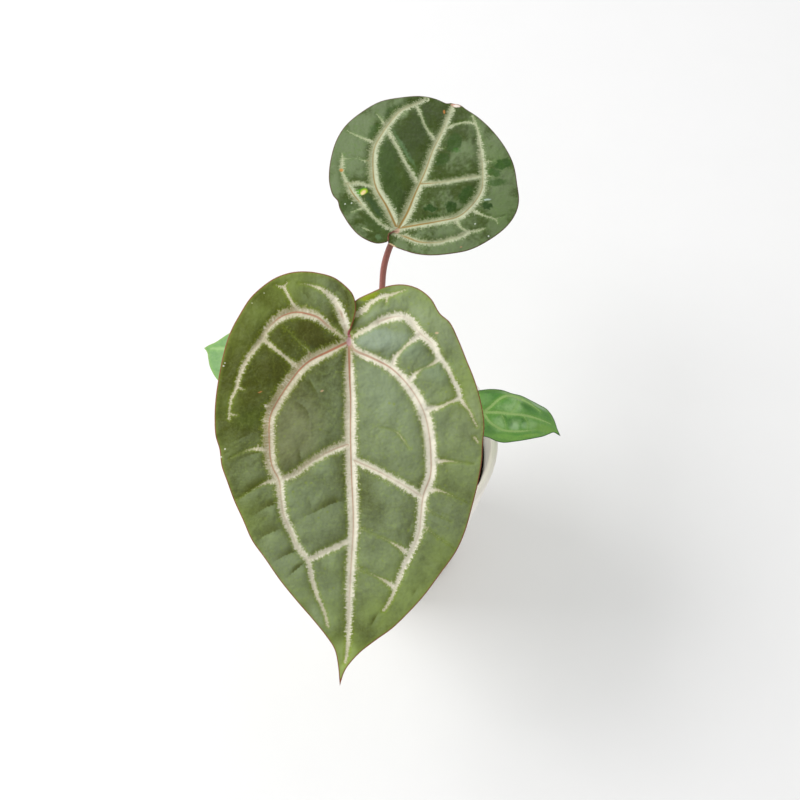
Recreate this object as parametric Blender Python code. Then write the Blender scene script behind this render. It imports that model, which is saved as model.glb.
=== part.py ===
"""Potted anthurium: a pot of coarse mix, a crown, and four stalks with heart-shaped, net-veined blades.

Every number is in millimetres, and the finished objects are in metres. +Z is up, and the origin is the
middle of the pot's flat base.
"""

import math
from dataclasses import dataclass
from dataclasses import field

import bmesh
import bpy
import numpy as np
from mathutils.geometry import delaunay_2d_cdt

# Scene units and the clearance between pieces that touch
MM = 0.001
GAP = 0.3
MERGE = 0.0001

# Pot
POT_HEIGHT = 105.0
POT_RIM_RADIUS = 60.0
POT_BASE_RADIUS = 42.0
POT_WALL = 4.0
POT_FLOOR = 5.0
POT_CORNER = 3.0
POT_EDGE = 1.2
POT_STEPS = 56
LIP_STEPS = 6
DRAIN_RADIUS = 4.0
DRAIN_CIRCLE = 21.0
DRAIN_COUNT = 4

# Potting mix
MIX_LEVEL = 90.0
MIX_STEPS = 48
MIX_RINGS = 10
MIX_SEED = 11
CHIP_COUNT = 150
CHIP_RADIUS = (3.5, 8.0)
CHIP_HEIGHT = (1.0, 4.0)
CALM_RING = 5.0

# Crown, which stands in a plain hole in the mix
CROWN_RADIUS = 9.5
CROWN_TOP = 104.0
CROWN_DEPTH = 14.0
CROWN_STEPS = 28
CROWN_ROWS = 13
CROWN_SHOULDER = 6
SCAR_SPACING = 3.4
SCAR_HEIGHT = 0.45

# Stalks
STALK_SIDES = 10
STALK_SPACING = 6.0
FOOT_HEIGHT = 97.0

# Papery sheaths round the crown
SHEATH_THICKNESS = 0.7
SHEATH_STEPS = 7
SHEATH_ROWS = 8
SHEATH_TIP = 0.08
SHEATH_TAPER = 1.6

# Meshing of the blades, in shares of a blade's spacing: points nearer than this become one
VEIN_CLEARANCE = 0.45
GRID_CLEARANCE = 0.72

# Relief of the blades: how wide a groove is for its vein, and where each half of a blade is highest
GROOVE_SPREAD = 0.5
GROOVE_BLUR = 0.8
FULL_VEIN = 3.0
FAINTEST_VEIN = 0.35
FULL_RIB = 4.0
BULGE_SPAN = 0.9
TIP_ROOT_REACH = 3.0
TIP_FOLD_WIDTH = 9.0

# The notch of the large blade: the line between its lobes, and how the right one curls in under the left
NOTCH_START = 0.25
NOTCH_SLOPE = 0.3
TUCK_START = 3.2
TUCK_RISE = 5.1
TUCK_END = 25.6
TUCK_FALL = 9.6
TUCK_REACH = 4.0
TUCK_DROP = 0.85

# The blades are drawn as they look from this point, on planes square to this line of sight
EYE = np.array([9.3, -389.7, 740.2])
SIGHT_SLOPE = math.radians(57.0)
RIGHTWARD = np.array([1.0, 0.0, 0.0])
UPWARD = np.array([0.0, math.sin(SIGHT_SLOPE), math.cos(SIGHT_SLOPE)])


@dataclass
class Blade:
    """One leaf blade. Its outline and veins are drawn as (right, up) from where its stalk joins."""

    name: str
    base: tuple
    seat: tuple
    faces: tuple
    left_edge: list
    right_edge: list
    veins: list
    stalk: list
    stalk_radii: tuple
    spacing: float
    half_width: float
    thickness: float
    rib: float
    puff: float
    groove: float
    rise: float
    arch: float
    bulge: float
    swells: list = field(default_factory=list)
    tuck: float = 0.0
    tip_fold: float = 0.0


# The large blade in front. Each vein is its course and its width from start to end
MAIN = Blade(
    name="main",
    base=(-13.7, -12.3, 210.0),
    seat=(0.0, -1.4),
    faces=(0.0, -0.5446, 0.8387),
    left_edge=[
        (-0.1, 1.0), (0.8, 4.6), (2.2, 8.4), (3.2, 14.0), (1.8, 19.8), (-1.8, 23.9), (-6.8, 27.5),
        (-13.1, 29.4), (-19.8, 30.2), (-26.6, 29.6), (-33.3, 27.2), (-39.2, 23.2), (-44.6, 18.0),
        (-49.1, 11.0), (-53.1, 3.6), (-55.8, -4.1), (-58.1, -14.4), (-59.9, -25.7), (-60.5, -34.7),
        (-60.1, -43.7), (-58.3, -50.0), (-57.4, -57.2), (-54.9, -64.4), (-51.8, -72.9), (-47.7, -81.9),
        (-43.7, -90.9), (-37.8, -99.2), (-31.1, -108.9), (-23.4, -118.4), (-16.2, -126.7), (-9.9, -134.6),
        (-6.5, -140.0), (-5.0, -146.7), (-4.1, -156.6),
    ],
    right_edge=[
        (-4.1, -156.6), (-2.3, -150.8), (-0.2, -147.2), (5.0, -141.5), (12.2, -135.9), (19.4, -130.7),
        (26.6, -123.8), (33.8, -115.9), (41.0, -106.2), (48.2, -96.1), (52.2, -87.3), (55.4, -76.3),
        (58.1, -65.3), (59.9, -54.9), (60.3, -47.3), (61.0, -38.7), (59.6, -29.3), (56.7, -18.9),
        (53.1, -9.9), (49.5, -0.9), (45.5, 7.2), (41.0, 11.3), (36.9, 18.0), (31.1, 22.5), (24.3, 24.3),
        (16.7, 23.4), (9.9, 20.3), (5.4, 16.4), (5.1, 11.7), (3.7, 8.1), (2.0, 4.5), (0.7, 1.4),
    ],
    veins=[
        ([(0, -1), (0.4, -19), (0.8, -28), (0.7, -41), (1.1, -59.5), (2.0, -84), (1.1, -100), (0.4, -113.5),
          (0, -127), (-0.7, -140.5), (-1.8, -146)], (4.0, 5.0, 7.0, 5.6, 5.0, 4.7, 3.9, 2.6, 1.0)),
        ([(-0.9, -1.8), (-8.6, -5.6), (-17.6, -10.1), (-22.1, -14), (-28.8, -23), (-34.2, -32), (-35.6, -36),
          (-35.8, -48.2), (-34.7, -57.2), (-31.5, -63.9), (-30.6, -71.6), (-29.3, -79.7), (-26.1, -86.9),
          (-23, -94.1), (-18.5, -99.9), (-16.7, -108), (-13.5, -117.9), (-11.3, -122.4), (-9.5, -129.6)],
         (4.5, 5.4, 5.4, 5.2, 3.8, 3.0, 2.2, 1.0)),
        ([(0.9, -2.3), (2.3, -5), (10.4, -8.8), (18.5, -13.1), (24.8, -18.9), (30.2, -26.1), (33.8, -33.3),
          (36, -42.3), (36.9, -52.7), (36.7, -61.7), (33.5, -70.7), (32.4, -79.7), (31.5, -87.8),
          (28.4, -95.4),
          (24.8, -102.6), (21.6, -110.3), (19.1, -117), (15.8, -122.4)],
         (3.5, 4.1, 5.5, 5.5, 4.8, 3.7, 2.3, 1.0)),
        ([(-1.4, -0.5), (-8.6, 4.9), (-13.9, 9.4), (-18.9, 11.1), (-24.0, 11.8), (-29.7, 10.2), (-33.6, 7.5),
          (-36.9, 3.8), (-39.0, -0.2), (-42.8, -5.0), (-45.6, -8.9), (-47.8, -13.4), (-49.7, -18.2),
          (-50.6, -22.1), (-52.8, -26.8), (-53.8, -32.2), (-54.0, -36.6)],
         (2.3, 3.6, 4.1, 3.6, 2.5, 2.0, 1.1)),
        ([(0.9, 0), (7.7, 3.9), (15.3, 8.3), (23.9, 9.9), (28.4, 7.4), (31.7, 2.6), (37.3, -2.2),
          (40.2, -7.6), (43.7, -12.2), (46.8, -18.2), (49.2, -23.2), (50.4, -27.7), (53.2, -31.2),
          (55.3, -34.6), (56.5, -37.7), (57.6, -39.6)],
         (1.8, 3.2, 3.8, 3.8, 3.2, 2.2, 1.0)),
        ([(-0.9, 2.3), (-0.8, 6.0), (-1.2, 9.4), (-2.6, 13.4), (-5.6, 17.7), (-9.6, 20.6), (-13.2, 22.7),
          (-17.1, 23.9), (-20.0, 24.5)], (3.4, 3.4, 2.4, 1.2)),
        ([(1.4, 2.3), (3.2, 6.6), (5.6, 10.6), (8.4, 13.2), (10.4, 16.2), (13.0, 18.2), (16.0, 19.3),
          (19.0, 19.6), (23.4, 21.2), (25.6, 21.8)], (1.0, 1.6, 1.8, 1.0)),
        ([(-22.7, 12.2), (-25.2, 15.3), (-26.8, 18.4), (-29.6, 23.2)], (1.8, 1.0)),
        ([(-39.0, 0.0), (-31.4, -6.2), (-24.2, -12.4)], (2.0, 2.0)),
        ([(0.5, -47.3), (-7.7, -50.4), (-16.7, -55.4), (-24.8, -61.2), (-31.1, -63.9)], (3.6, 2.4)),
        ([(0.9, -90.9), (-6.3, -94.1), (-14.9, -98.1), (-18, -99.5)], (2.6, 2.2)),
        ([(1.4, -54.5), (10.4, -58.5), (19.4, -63.2), (28.4, -68.4), (32.9, -71.6)], (3.4, 3.2)),
        ([(1.6, -102.6), (5, -104), (14, -108), (19.8, -111.6)], (1.4, 0.8)),
        ([(19.8, -11.4), (21.2, -7.6), (23.9, -4.6), (27.0, -1.4), (31.6, 1.6)], (2.3, 2.3)),
        ([(27.5, -18.8), (29.5, -16.4), (33.8, -13.2), (36.8, -12.0), (40.6, -9.4)], (1.6, 1.2, 1.8)),
        ([(33.4, -32.4), (37.0, -31.8), (41.0, -30.7), (44.5, -29.2), (49.8, -26.8)], (2.2, 1.8)),
        ([(37.8, -54.8), (41.0, -55.2), (46.0, -55.4), (52, -56.0)], (1.8, 0.8)),
        ([(34.2, -68), (41, -68.6), (53, -73.8)], (1.8, 0.8)),
        ([(-36.5, -50), (-44.6, -50), (-54, -54)], (1.4, 0.8)),
        ([(-31.5, -79), (-40, -82), (-46, -80)], (1.0, 0.8)),
        ([(-26, -93), (-33, -98)], (1.0, 0.8)),
    ],
    stalk=[(-2.8, -3.2, FOOT_HEIGHT), (-4.2, -4.2, 112), (-7.5, -5.0, 140), (-10.6, -5.2, 168),
           (-12.6, -6.6, 190)],
    stalk_radii=(2.3, 1.9, 1.8, 1.8, 2.1, 1.9),
    spacing=4.7,
    half_width=60.0,
    thickness=0.8,
    rib=1.0,
    puff=1.4,
    groove=0.9,
    rise=0.19,
    arch=0.0020,
    bulge=3.0,
    swells=[((-1.0, 15.0), 9.0, 1.6), ((-58.0, -48.0), 12.0, -1.6), ((-46.0, -20.0), 16.0, 1.2),
            ((60.0, -48.0), 12.0, 1.4), ((44.0, -100.0), 16.0, -1.8), ((-40.0, -96.0), 14.0, 1.5),
            ((-30.0, 28.0), 14.0, -2.0), ((30.0, 24.0), 14.0, -2.2)],
    tuck=3.2,
)

# The rounder blade behind, which leans away
TOP = Blade(
    name="top",
    base=(8.3, 60.6, 198.0),
    seat=(0.5, 1.1),
    faces=(0.02, 0.05, 1.0),
    left_edge=[
        (-0.6, -0.5), (-2.4, -1.4), (-3.9, -2.7), (-4.8, -4.6), (-7.0, -5.9), (-10.1, -6.2), (-13.9, -5.3),
        (-18.7, -2.6), (-22.5, 1.2), (-26.2, 6.6), (-28.4, 10.8), (-29.3, 14.2), (-31.6, 17.0), (-33.0, 21.2),
        (-33.5, 25.4), (-32.7, 34.0), (-29.8, 43.7), (-25.2, 50.9),
        (-18.4, 56.7), (-8.7, 62.3), (1.0, 64.3), (10.7, 65.0), (18.4, 63.8), (24.0, 61.4), (26.4, 62.8),
        (28.3, 67.0),
    ],
    right_edge=[
        (28.3, 67.0), (29.2, 62.2), (32.0, 59.4), (38.8, 54.8), (45.6, 48.5), (51.9, 40.3), (56.0, 32.0),
        (57.9, 21.8), (58.7, 14.1), (57.2, 8.2), (52.9, 1.9), (44.6, -4.6), (34.9, -9.5), (25.2, -11.4),
        (15.5, -12.1), (8.2, -11.3), (2.9, -9.7), (-1.6, -8.0), (-3.9, -6.6), (-4.1, -5.0), (-3.2, -3.2),
        (-1.6, -2.0), (0.2, -1.0),
    ],
    veins=[
        ([(0, 0.5), (4.4, 8.2), (8.7, 18.4), (13.1, 28.1), (17, 38.8), (21.8, 48.5), (25.2, 56.7),
          (26.2, 59.7)],
         (4.4, 5.0, 5.0, 4.6, 3.6, 2.0)),
        ([(-1, 1.9), (-5.3, 11.2), (-10.7, 20.9), (-12.1, 30.1), (-11.4, 39.8), (-7.8, 46.6), (-2.9, 53.4),
          (1.9, 58.2), (8.7, 61.1), (13.0, 62.6)], (4.4, 4.6, 4.4, 4.0, 3.4, 2.2)),
        ([(-1.4, 0.2), (-5.8, 1.6), (-11.2, 5.6), (-17.1, 12.0), (-21.9, 17.8), (-24.1, 21.8), (-26.2, 25.6),
          (-27.2, 30.4), (-26.9, 34.6), (-27.2, 37.2)], (2.4, 2.0, 3.4, 3.0, 1.4)),
        ([(1, 1), (10.7, 2.7), (20.4, 4.4), (29.1, 6.5), (35.4, 11.6), (40.3, 18.9), (41.2, 26.7),
          (40.3, 37.3), (38.8, 47.5), (36.0, 55.0)], (4.6, 5.2, 4.8, 4.2, 3.4, 2.4, 1.6)),
        ([(1.5, -0.5), (6.8, -4.4), (15.5, -6.3), (25.2, -4.9), (32, -2.4), (36.9, -0.2), (42.7, 1)],
         (2.0, 3.2, 2.6, 1.2)),
        ([(-24.7, 22.8), (-17, 21.8), (-11.4, 21.3)], (3.0, 3.0)),
        ([(-4.9, 49.5), (0, 40.7), (4.4, 32.5), (11.0, 24.2)], (2.4, 2.4)),
        ([(8.7, 60.5), (12.1, 52.4), (18.2, 42.6)], (1.7, 1.7)),
        ([(11.4, 22.8), (23.8, 23.8), (41, 25.7), (45, 27)], (3.6, 3.4, 1.2)),
        ([(22.7, 50), (36.9, 52.1)], (2.0, 2.0)),
        ([(-12.1, 42.7), (-17.9, 44.6), (-24.7, 48)], (2.0, 0.8)),
        ([(28.0, 4.8), (29.4, 2.2), (31.4, 0.4), (34.2, -0.8)], (1.8, 1.6)),
        ([(35.9, 10), (43.7, 6.3), (49, 5.3)], (1.8, 0.8)),
        ([(-16.4, 11.0), (-22.8, 8.7)], (1.6, 0.8)),
        ([(-26.8, 34.9), (-14.6, 33.5), (-12.0, 33.2)], (1.4, 1.4)),
    ],
    stalk=[(1.8, 4.4, FOOT_HEIGHT), (1.5, 10.5, 112), (0.6, 24, 136), (0.0, 38, 159), (0.5, 46, 171.8),
           (1.5, 51.5, 181.5), (4.4, 56.6, 190.2)],
    stalk_radii=(2.1, 1.7, 1.55, 1.5, 1.55, 1.8, 1.6),
    spacing=5.0,
    half_width=46.0,
    thickness=0.75,
    rib=0.8,
    puff=1.2,
    groove=0.8,
    rise=0.05,
    arch=0.0011,
    bulge=2.6,
    swells=[((20.0, 62.0), 10.0, -1.4), ((34.0, 58.0), 10.0, -1.2), ((-30.0, 40.0), 12.0, -1.5),
            ((54.0, 30.0), 12.0, 1.5), ((20.0, -12.0), 12.0, 1.4), ((-14.0, -5.0), 9.0, 1.3),
            ((-4.0, -4.0), 5.0, 0.9), ((0.5, -6.0), 5.0, -0.7)],
    tip_fold=1.3,
)

# The small blade at the right of the rim
RIGHT_LEAF = Blade(
    name="right",
    base=(51.0, 0.0, 128.8),
    seat=(1.2, -0.3),
    faces=(0.22, -0.20, 0.955),
    left_edge=[
        (-0.4, 0.4), (-2.5, 2.0), (-5.8, 4.0), (-7.6, 7.0), (-6.2, 10.1), (-1.6, 11.1), (4.0, 11.7),
        (9.5, 11.2), (14.3, 9.6), (19.1, 8.4), (23.9, 6.1), (28.6, 3.6), (31.9, 1.7), (34.4, -1.2),
        (36.0, -4.4), (37.3, -8.3), (38.9, -11.9),
    ],
    right_edge=[
        (38.9, -11.9), (35.6, -10.2), (33.5, -10.8), (30.6, -12.0), (25.5, -13.1), (20.1, -14.1),
        (15.3, -14.8), (10.4, -15.3), (6.3, -14.4), (3.0, -12.8), (-1.0, -11.8), (-4.8, -10.2),
        (-6.8, -7.2), (-5.6, -3.9), (-2.6, -1.6), (-0.4, -0.5),
    ],
    veins=[
        ([(0.6, 0), (7.9, -0.1), (14.1, -0.8), (20.1, -1.4), (25.6, -2.7), (30.3, -4.3), (34.1, -6)],
         (1.9, 1.9, 1.0)),
        ([(0.8, 0.5), (4, 2.6), (7.2, 5.5), (10, 7), (14.1, 7.9), (18.5, 6.9), (24, 4), (29, 0.2)],
         (1.6, 1.8, 0.9)),
        ([(0.8, -1.2), (3, -4.5), (6.3, -7), (10, -9.2), (14.3, -9.9), (21, -9.6), (27, -8.8)],
         (1.6, 1.6, 0.9)),
        ([(-0.3, 1.2), (-2.6, 5), (-2.0, 8.6)], (1.3, 0.7)),
        ([(-0.3, -1.2), (-2.6, -5), (-2.0, -8.8)], (1.3, 0.7)),
        ([(13.8, -0.6), (17, 3.4), (18, 6.8)], (0.9, 0.9)),
        ([(9, -0.4), (11, -5), (11.6, -9.2)], (0.9, 0.9)),
        ([(20, -1.4), (22.4, -5.5), (22, -9.4)], (0.9, 0.9)),
    ],
    stalk=[(5.2, -1.2, FOOT_HEIGHT), (8.6, -1.6, 107), (19, -1.6, 116), (33, -1.0, 122), (44, -0.4, 124.4)],
    stalk_radii=(1.6, 1.3, 1.2, 1.15, 1.35, 1.2),
    spacing=3.4,
    half_width=16.0,
    thickness=0.65,
    rib=0.5,
    puff=0.7,
    groove=0.4,
    rise=0.12,
    arch=0.0085,
    bulge=1.2,
    swells=[((4.0, 12.0), 7.0, -1.2), ((9.0, -15.0), 8.0, -1.2), ((30.0, -12.0), 6.0, -0.8)],
)

# The small blade at the left, whose tip looks out from behind the large one
LEFT_LEAF = Blade(
    name="left",
    base=(-31.3, 13.0, 149.1),
    seat=(-1.2, 0.2),
    faces=(-0.26, -0.12, 0.958),
    left_edge=[
        (0.6, 0.5), (3.4, 2.2), (7.6, 4.2), (9.4, 8.4), (5.6, 14.4), (-3.0, 19.2), (-13.0, 22.6),
        (-25.0, 23.6), (-35.5, 21.2), (-43.9, 17.3), (-47.9, 14.7), (-51.0, 12.7), (-54.0, 11.4),
        (-56.4, 9.9),
    ],
    right_edge=[
        (-56.4, 9.9), (-54.9, 7.8), (-54.4, 5.0), (-53.7, 1.2), (-52.3, -2.0), (-50.3, -5.2), (-46.2, -9.6),
        (-39.5, -14.4), (-30.5, -17.8), (-20.5, -18.8), (-10.5, -17.2), (-2.0, -13.6), (4.8, -9.4),
        (7.4, -5.2), (4.6, -2.0), (0.8, -0.5),
    ],
    veins=[
        ([(-0.5, 0.1), (-14, 3.6), (-30, 7.6), (-39, 9.2), (-46, 9.7), (-53, 9.7)], (2.6, 2.6, 2.2, 1.2)),
        ([(-0.5, 1.0), (-7, 7), (-14, 12.6), (-24, 16.6), (-34, 16.6), (-43, 13.6)], (2.2, 2.2, 1.6, 0.8)),
        ([(-0.7, -0.8), (-8, -5), (-16, -9.4), (-26, -10.6), (-36, -7.6), (-45, -1.6)], (2.2, 2.2, 1.6, 0.8)),
        ([(0.4, 1.6), (2.6, 7), (0.0, 13)], (1.6, 0.8)),
        ([(0.2, -1.4), (1.6, -6), (-3, -11)], (1.6, 0.8)),
        ([(-16, 4.2), (-20, 10), (-22, 16)], (1.2, 1.2)),
        ([(-27, 7), (-33, 12), (-35, 16.4)], (1.0, 1.0)),
        ([(-13, 3.4), (-18, -3), (-20, -10)], (1.2, 1.2)),
        ([(-27, 6.8), (-32, 1), (-33, -8.6)], (1.0, 1.0)),
    ],
    stalk=[(-4.8, 2.2, FOOT_HEIGHT), (-7.4, 3.4, 108), (-15.5, 7.2, 123), (-24.5, 10.8, 136),
           (-29.2, 12.4, 143)],
    stalk_radii=(1.7, 1.4, 1.3, 1.25, 1.5, 1.35),
    spacing=4.2,
    half_width=24.0,
    thickness=0.65,
    rib=0.6,
    puff=0.8,
    groove=0.5,
    rise=0.14,
    arch=0.0050,
    bulge=1.6,
    swells=[((-25.0, 24.0), 10.0, -1.2), ((-30.0, -18.0), 10.0, -1.0)],
)

# Sheaths: direction round the crown, half their spread, height and outward lean
SHEATHS = {
    "cataphyll_front": (math.radians(288), math.radians(24), 26.0, 4.0),
    "cataphyll_back": (math.radians(38), math.radians(20), 20.0, 3.0),
}


def clear_scene():
    for item in list(bpy.data.objects):
        bpy.data.objects.remove(item, do_unlink=True)


def material(name, colour, roughness):
    finish = bpy.data.materials.new(name)
    finish.use_nodes = True
    shader = finish.node_tree.nodes["Principled BSDF"]
    shader.inputs["Base Color"].default_value = (*colour, 1.0)
    shader.inputs["Roughness"].default_value = roughness
    shader.inputs["Metallic"].default_value = 0.0
    return finish


def add_object(name, mesh, finish):
    """A smooth-shaded object of the mesh in the scene, with creases where faces turn sharply."""
    mesh.shade_smooth()
    mesh.set_sharp_from_angle(angle=math.radians(50))
    if finish:
        mesh.materials.append(finish)
    made = bpy.data.objects.new(name, mesh)
    bpy.context.scene.collection.objects.link(made)
    return made


def mesh_of(name, points, faces):
    """A mesh from points in millimetres."""
    mesh = bpy.data.meshes.new(name)
    mesh.from_pydata((np.asarray(points) * MM).tolist(), [], faces)
    return mesh


def cutter(name, mesh):
    helper = add_object(name, mesh, None)
    helper.hide_render = True
    helper.display_type = "WIRE"
    return helper


def cut(target, helper):
    modifier = target.modifiers.new(helper.name, "BOOLEAN")
    modifier.operation = "DIFFERENCE"
    modifier.object = helper


def unit(vector):
    return np.asarray(vector, float) / np.linalg.norm(vector)


def smooth_course(points, spacing):
    """Points about spacing apart on a centripetal Catmull-Rom curve through the given ones."""
    given = np.array(points, float)
    given = np.vstack([2 * given[0] - given[1], given, 2 * given[-1] - given[-2]])
    knots = np.concatenate([[0.0], np.cumsum(np.sqrt(np.linalg.norm(np.diff(given, axis=0), axis=1)))])
    dense = [given[1]]
    for start in range(len(given) - 3):
        p0, p1, p2, p3 = given[start : start + 4]
        t0, t1, t2, t3 = knots[start : start + 4]
        for t in np.linspace(t1, t2, 13)[1:]:
            a1 = (p0 * (t1 - t) + p1 * (t - t0)) / (t1 - t0)
            a2 = (p1 * (t2 - t) + p2 * (t - t1)) / (t2 - t1)
            a3 = (p2 * (t3 - t) + p3 * (t - t2)) / (t3 - t2)
            b1 = (a1 * (t2 - t) + a2 * (t - t0)) / (t2 - t0)
            b2 = (a2 * (t3 - t) + a3 * (t - t1)) / (t3 - t1)
            dense.append((b1 * (t2 - t) + b2 * (t - t1)) / (t2 - t1))
    dense = np.array(dense)
    travelled = np.concatenate([[0.0], np.cumsum(np.linalg.norm(np.diff(dense, axis=0), axis=1))])
    steps = max(2, round(travelled[-1] / spacing))
    wanted = np.linspace(0.0, travelled[-1], steps + 1)
    return np.column_stack([np.interp(wanted, travelled, axis) for axis in dense.T])


def plane_axes(blade):
    """Unit vectors across, along and out of the blade's plane."""
    out = unit(blade.faces)
    across = unit(RIGHTWARD - out * (RIGHTWARD @ out))
    return across, np.cross(out, across), out


def onto_plane(drawn, blade):
    """Drawn points carried along their sight lines to the blade's plane, as (across, along)."""
    across, along, out = plane_axes(blade)
    base = np.array(blade.base)
    drawn = np.asarray(drawn, float)
    rays = base + drawn[:, :1] * RIGHTWARD + drawn[:, 1:] * UPWARD - EYE
    reached = EYE + rays * (((base - EYE) @ out) / (rays @ out))[:, None] - base
    return np.column_stack([reached @ across, reached @ along])


def raised(flat, heights, drops, blade):
    """Plane points in space: raised along their sight lines by heights, then dropped square to the plane."""
    across, along, out = plane_axes(blade)
    points = np.array(blade.base) + flat[:, :1] * across + flat[:, 1:] * along
    sight = EYE - points
    return points + sight * (heights / (sight @ out))[:, None] - drops[:, None] * out


def nearest_on(course, points):
    """Each point's distance to a course, and how far along it the nearest place is, from 0 to 1."""
    step = np.diff(course, axis=0)
    offset = points[:, None, :] - course[None, :-1, :]
    share = np.clip((offset * step).sum(axis=2) / (step * step).sum(axis=1), 0.0, 1.0)
    distance = np.linalg.norm(offset - share[:, :, None] * step, axis=2)
    nearest = distance.argmin(axis=1)
    rows = np.arange(len(points))
    return distance[rows, nearest], (nearest + share[rows, nearest]) / len(step)


def vein_closeness(flat, blade):
    """How near a vein each plane point is, from 1 on its centre line down to 0, and its width."""
    closeness = np.zeros(len(flat))
    width = np.zeros(len(flat))
    for course, widths in blade.veins:
        path = smooth_course(onto_plane(course, blade), blade.spacing / 2)
        distance, share = nearest_on(path, flat)
        local = np.interp(share, np.linspace(0.0, 1.0, len(widths)), widths)
        near = np.exp(-((distance / (GROOVE_SPREAD * local + GROOVE_BLUR)) ** 2))
        near *= np.clip(local / FULL_VEIN, FAINTEST_VEIN, 1.0)
        width = np.where(near > closeness, local, width)
        closeness = np.maximum(closeness, near)
    return closeness, width


def fold_of_tip(flat, blade):
    """How far the tip hangs below the plane: nothing up to its root, then ever more steeply."""
    root, _, tip = onto_plane(blade.left_edge[-3:], blade)
    forward = unit(tip)
    sideways = np.array([-forward[1], forward[0]])
    beyond = np.clip((flat - root) @ forward, 0.0, None)
    aside = (flat - tip) @ sideways
    steepening = beyond**2 / (beyond + TIP_ROOT_REACH)
    return blade.tip_fold * steepening * np.exp(-((aside / TIP_FOLD_WIDTH) ** 2))


def tuck_share(flat):
    """How much of the tuck each point of the right lobe takes: all of it on the edge along the notch."""
    beside = flat[:, 0] - NOTCH_START - NOTCH_SLOPE * flat[:, 1]
    rise = np.clip((flat[:, 1] - TUCK_START) / TUCK_RISE, 0.0, 1.0)
    fall = np.clip((TUCK_END - flat[:, 1]) / TUCK_FALL, 0.0, 1.0)
    return (beside > 0) * rise * fall * np.exp(-((np.maximum(beside, 0.0) / TUCK_REACH) ** 2))


def blade_sheet(flat, blade):
    """The blade's upper face over its plane points, and the share of full rib thickness under it."""
    tip = unit(onto_plane(blade.left_edge[-1:], blade)[0])
    outward = flat @ tip
    aside = np.abs(flat @ np.array([-tip[1], tip[0]])) / blade.half_width
    heights = blade.rise * outward - blade.arch * outward**2
    heights += blade.bulge * 4 * aside * (BULGE_SPAN - aside) / BULGE_SPAN**2
    for centre, reach, height in blade.swells:
        away = np.linalg.norm(flat - onto_plane([centre], blade)[0], axis=1)
        heights += height * np.exp(-((away / reach) ** 2))
    closeness, width = vein_closeness(flat, blade)
    heights += blade.puff * (1.0 - closeness) - blade.groove * closeness
    moved = flat.copy()
    if blade.tuck:
        inward = tuck_share(flat) * blade.tuck
        moved[:, 0] -= inward
        heights -= inward * TUCK_DROP
    drops = fold_of_tip(flat, blade) if blade.tip_fold else np.zeros(len(flat))
    return raised(moved, heights, drops, blade), closeness * np.clip(width / FULL_RIB, FAINTEST_VEIN, 1.0)


def sheet_triangles(blade):
    """The blade's plane points and the triangles between them, with every vein along triangle edges."""
    left = smooth_course(onto_plane(blade.left_edge, blade), blade.spacing)
    right = smooth_course(onto_plane(blade.right_edge, blade), blade.spacing)
    outline = np.vstack([left, right[1:]])
    points = list(outline)
    links = []
    for course, _ in blade.veins:
        path = smooth_course(onto_plane(course, blade), blade.spacing)
        last = None
        for place in path:
            away = np.linalg.norm(np.array(points) - place, axis=1)
            index = int(away.argmin())
            if away[index] > VEIN_CLEARANCE * blade.spacing:
                index = len(points)
                points.append(place)
            if last is not None and last != index:
                links.append((last, index))
            last = index
    for place in grid_inside(outline, blade.spacing):
        if np.linalg.norm(np.array(points) - place, axis=1).min() > GRID_CLEARANCE * blade.spacing:
            points.append(place)
    border = list(range(len(outline)))
    made = delaunay_2d_cdt([tuple(place) for place in points], links, [border], 1, 1e-4)
    return np.array([tuple(place) for place in made[0]]), [tuple(face) for face in made[2]]


def grid_inside(outline, spacing):
    """A grid of staggered rows of points within the outline."""
    low, high = outline.min(axis=0), outline.max(axis=0)
    places = []
    for row, y in enumerate(np.arange(low[1], high[1], spacing * math.sin(math.radians(60)))):
        for x in np.arange(low[0] + (row % 2) * spacing / 2, high[0], spacing):
            if inside(outline, x, y):
                places.append(np.array([x, y]))
    return places


def inside(outline, x, y):
    after = np.roll(outline, -1, axis=0)
    crossing = (outline[:, 1] > y) != (after[:, 1] > y)
    start, end = outline[crossing], after[crossing]
    reach = start[:, 0] + (y - start[:, 1]) * (end[:, 0] - start[:, 0]) / (end[:, 1] - start[:, 1])
    return int((reach > x).sum()) % 2 == 1


def make_blade(blade, finish):
    """The blade as one sheet of triangles, thickened downwards and more so under its veins."""
    flat, faces = sheet_triangles(blade)
    surface, ribs = blade_sheet(flat, blade)
    made = add_object(f"blade_{blade.name}", mesh_of(blade.name, surface, faces), finish)
    group = made.vertex_groups.new(name="ribs")
    for index, share in enumerate(ribs):
        group.add([index], float(share), "REPLACE")
    full = blade.thickness + blade.rib
    shell = made.modifiers.new("thickness", "SOLIDIFY")
    shell.thickness = full * MM
    shell.offset = -1.0
    shell.use_even_offset = False
    shell.vertex_group = group.name
    shell.thickness_vertex_group = blade.thickness / full


def tube(name, course, radii, end_facing=None):
    """A round tube along a course, with radii spread evenly from its start to its end, and flat ends."""
    path = smooth_course(course, STALK_SPACING)
    tangents = np.gradient(path, axis=0)
    across = unit(np.cross([0.0, 1.0, 0.0], tangents[0]))
    rings = []
    for index, centre in enumerate(path):
        facing = unit(tangents[index])
        if end_facing is not None and index == len(path) - 1:
            facing = unit(end_facing)
        across = unit(across - facing * (across @ facing))
        upright = np.cross(facing, across)
        radius = np.interp(index / (len(path) - 1), np.linspace(0.0, 1.0, len(radii)), radii)
        angles = np.arange(STALK_SIDES) * 2 * math.pi / STALK_SIDES
        rings.append([centre + radius * (math.cos(a) * across + math.sin(a) * upright) for a in angles])
    return ring_mesh(name, [path[:1]] + rings + [path[-1:]])


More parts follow.
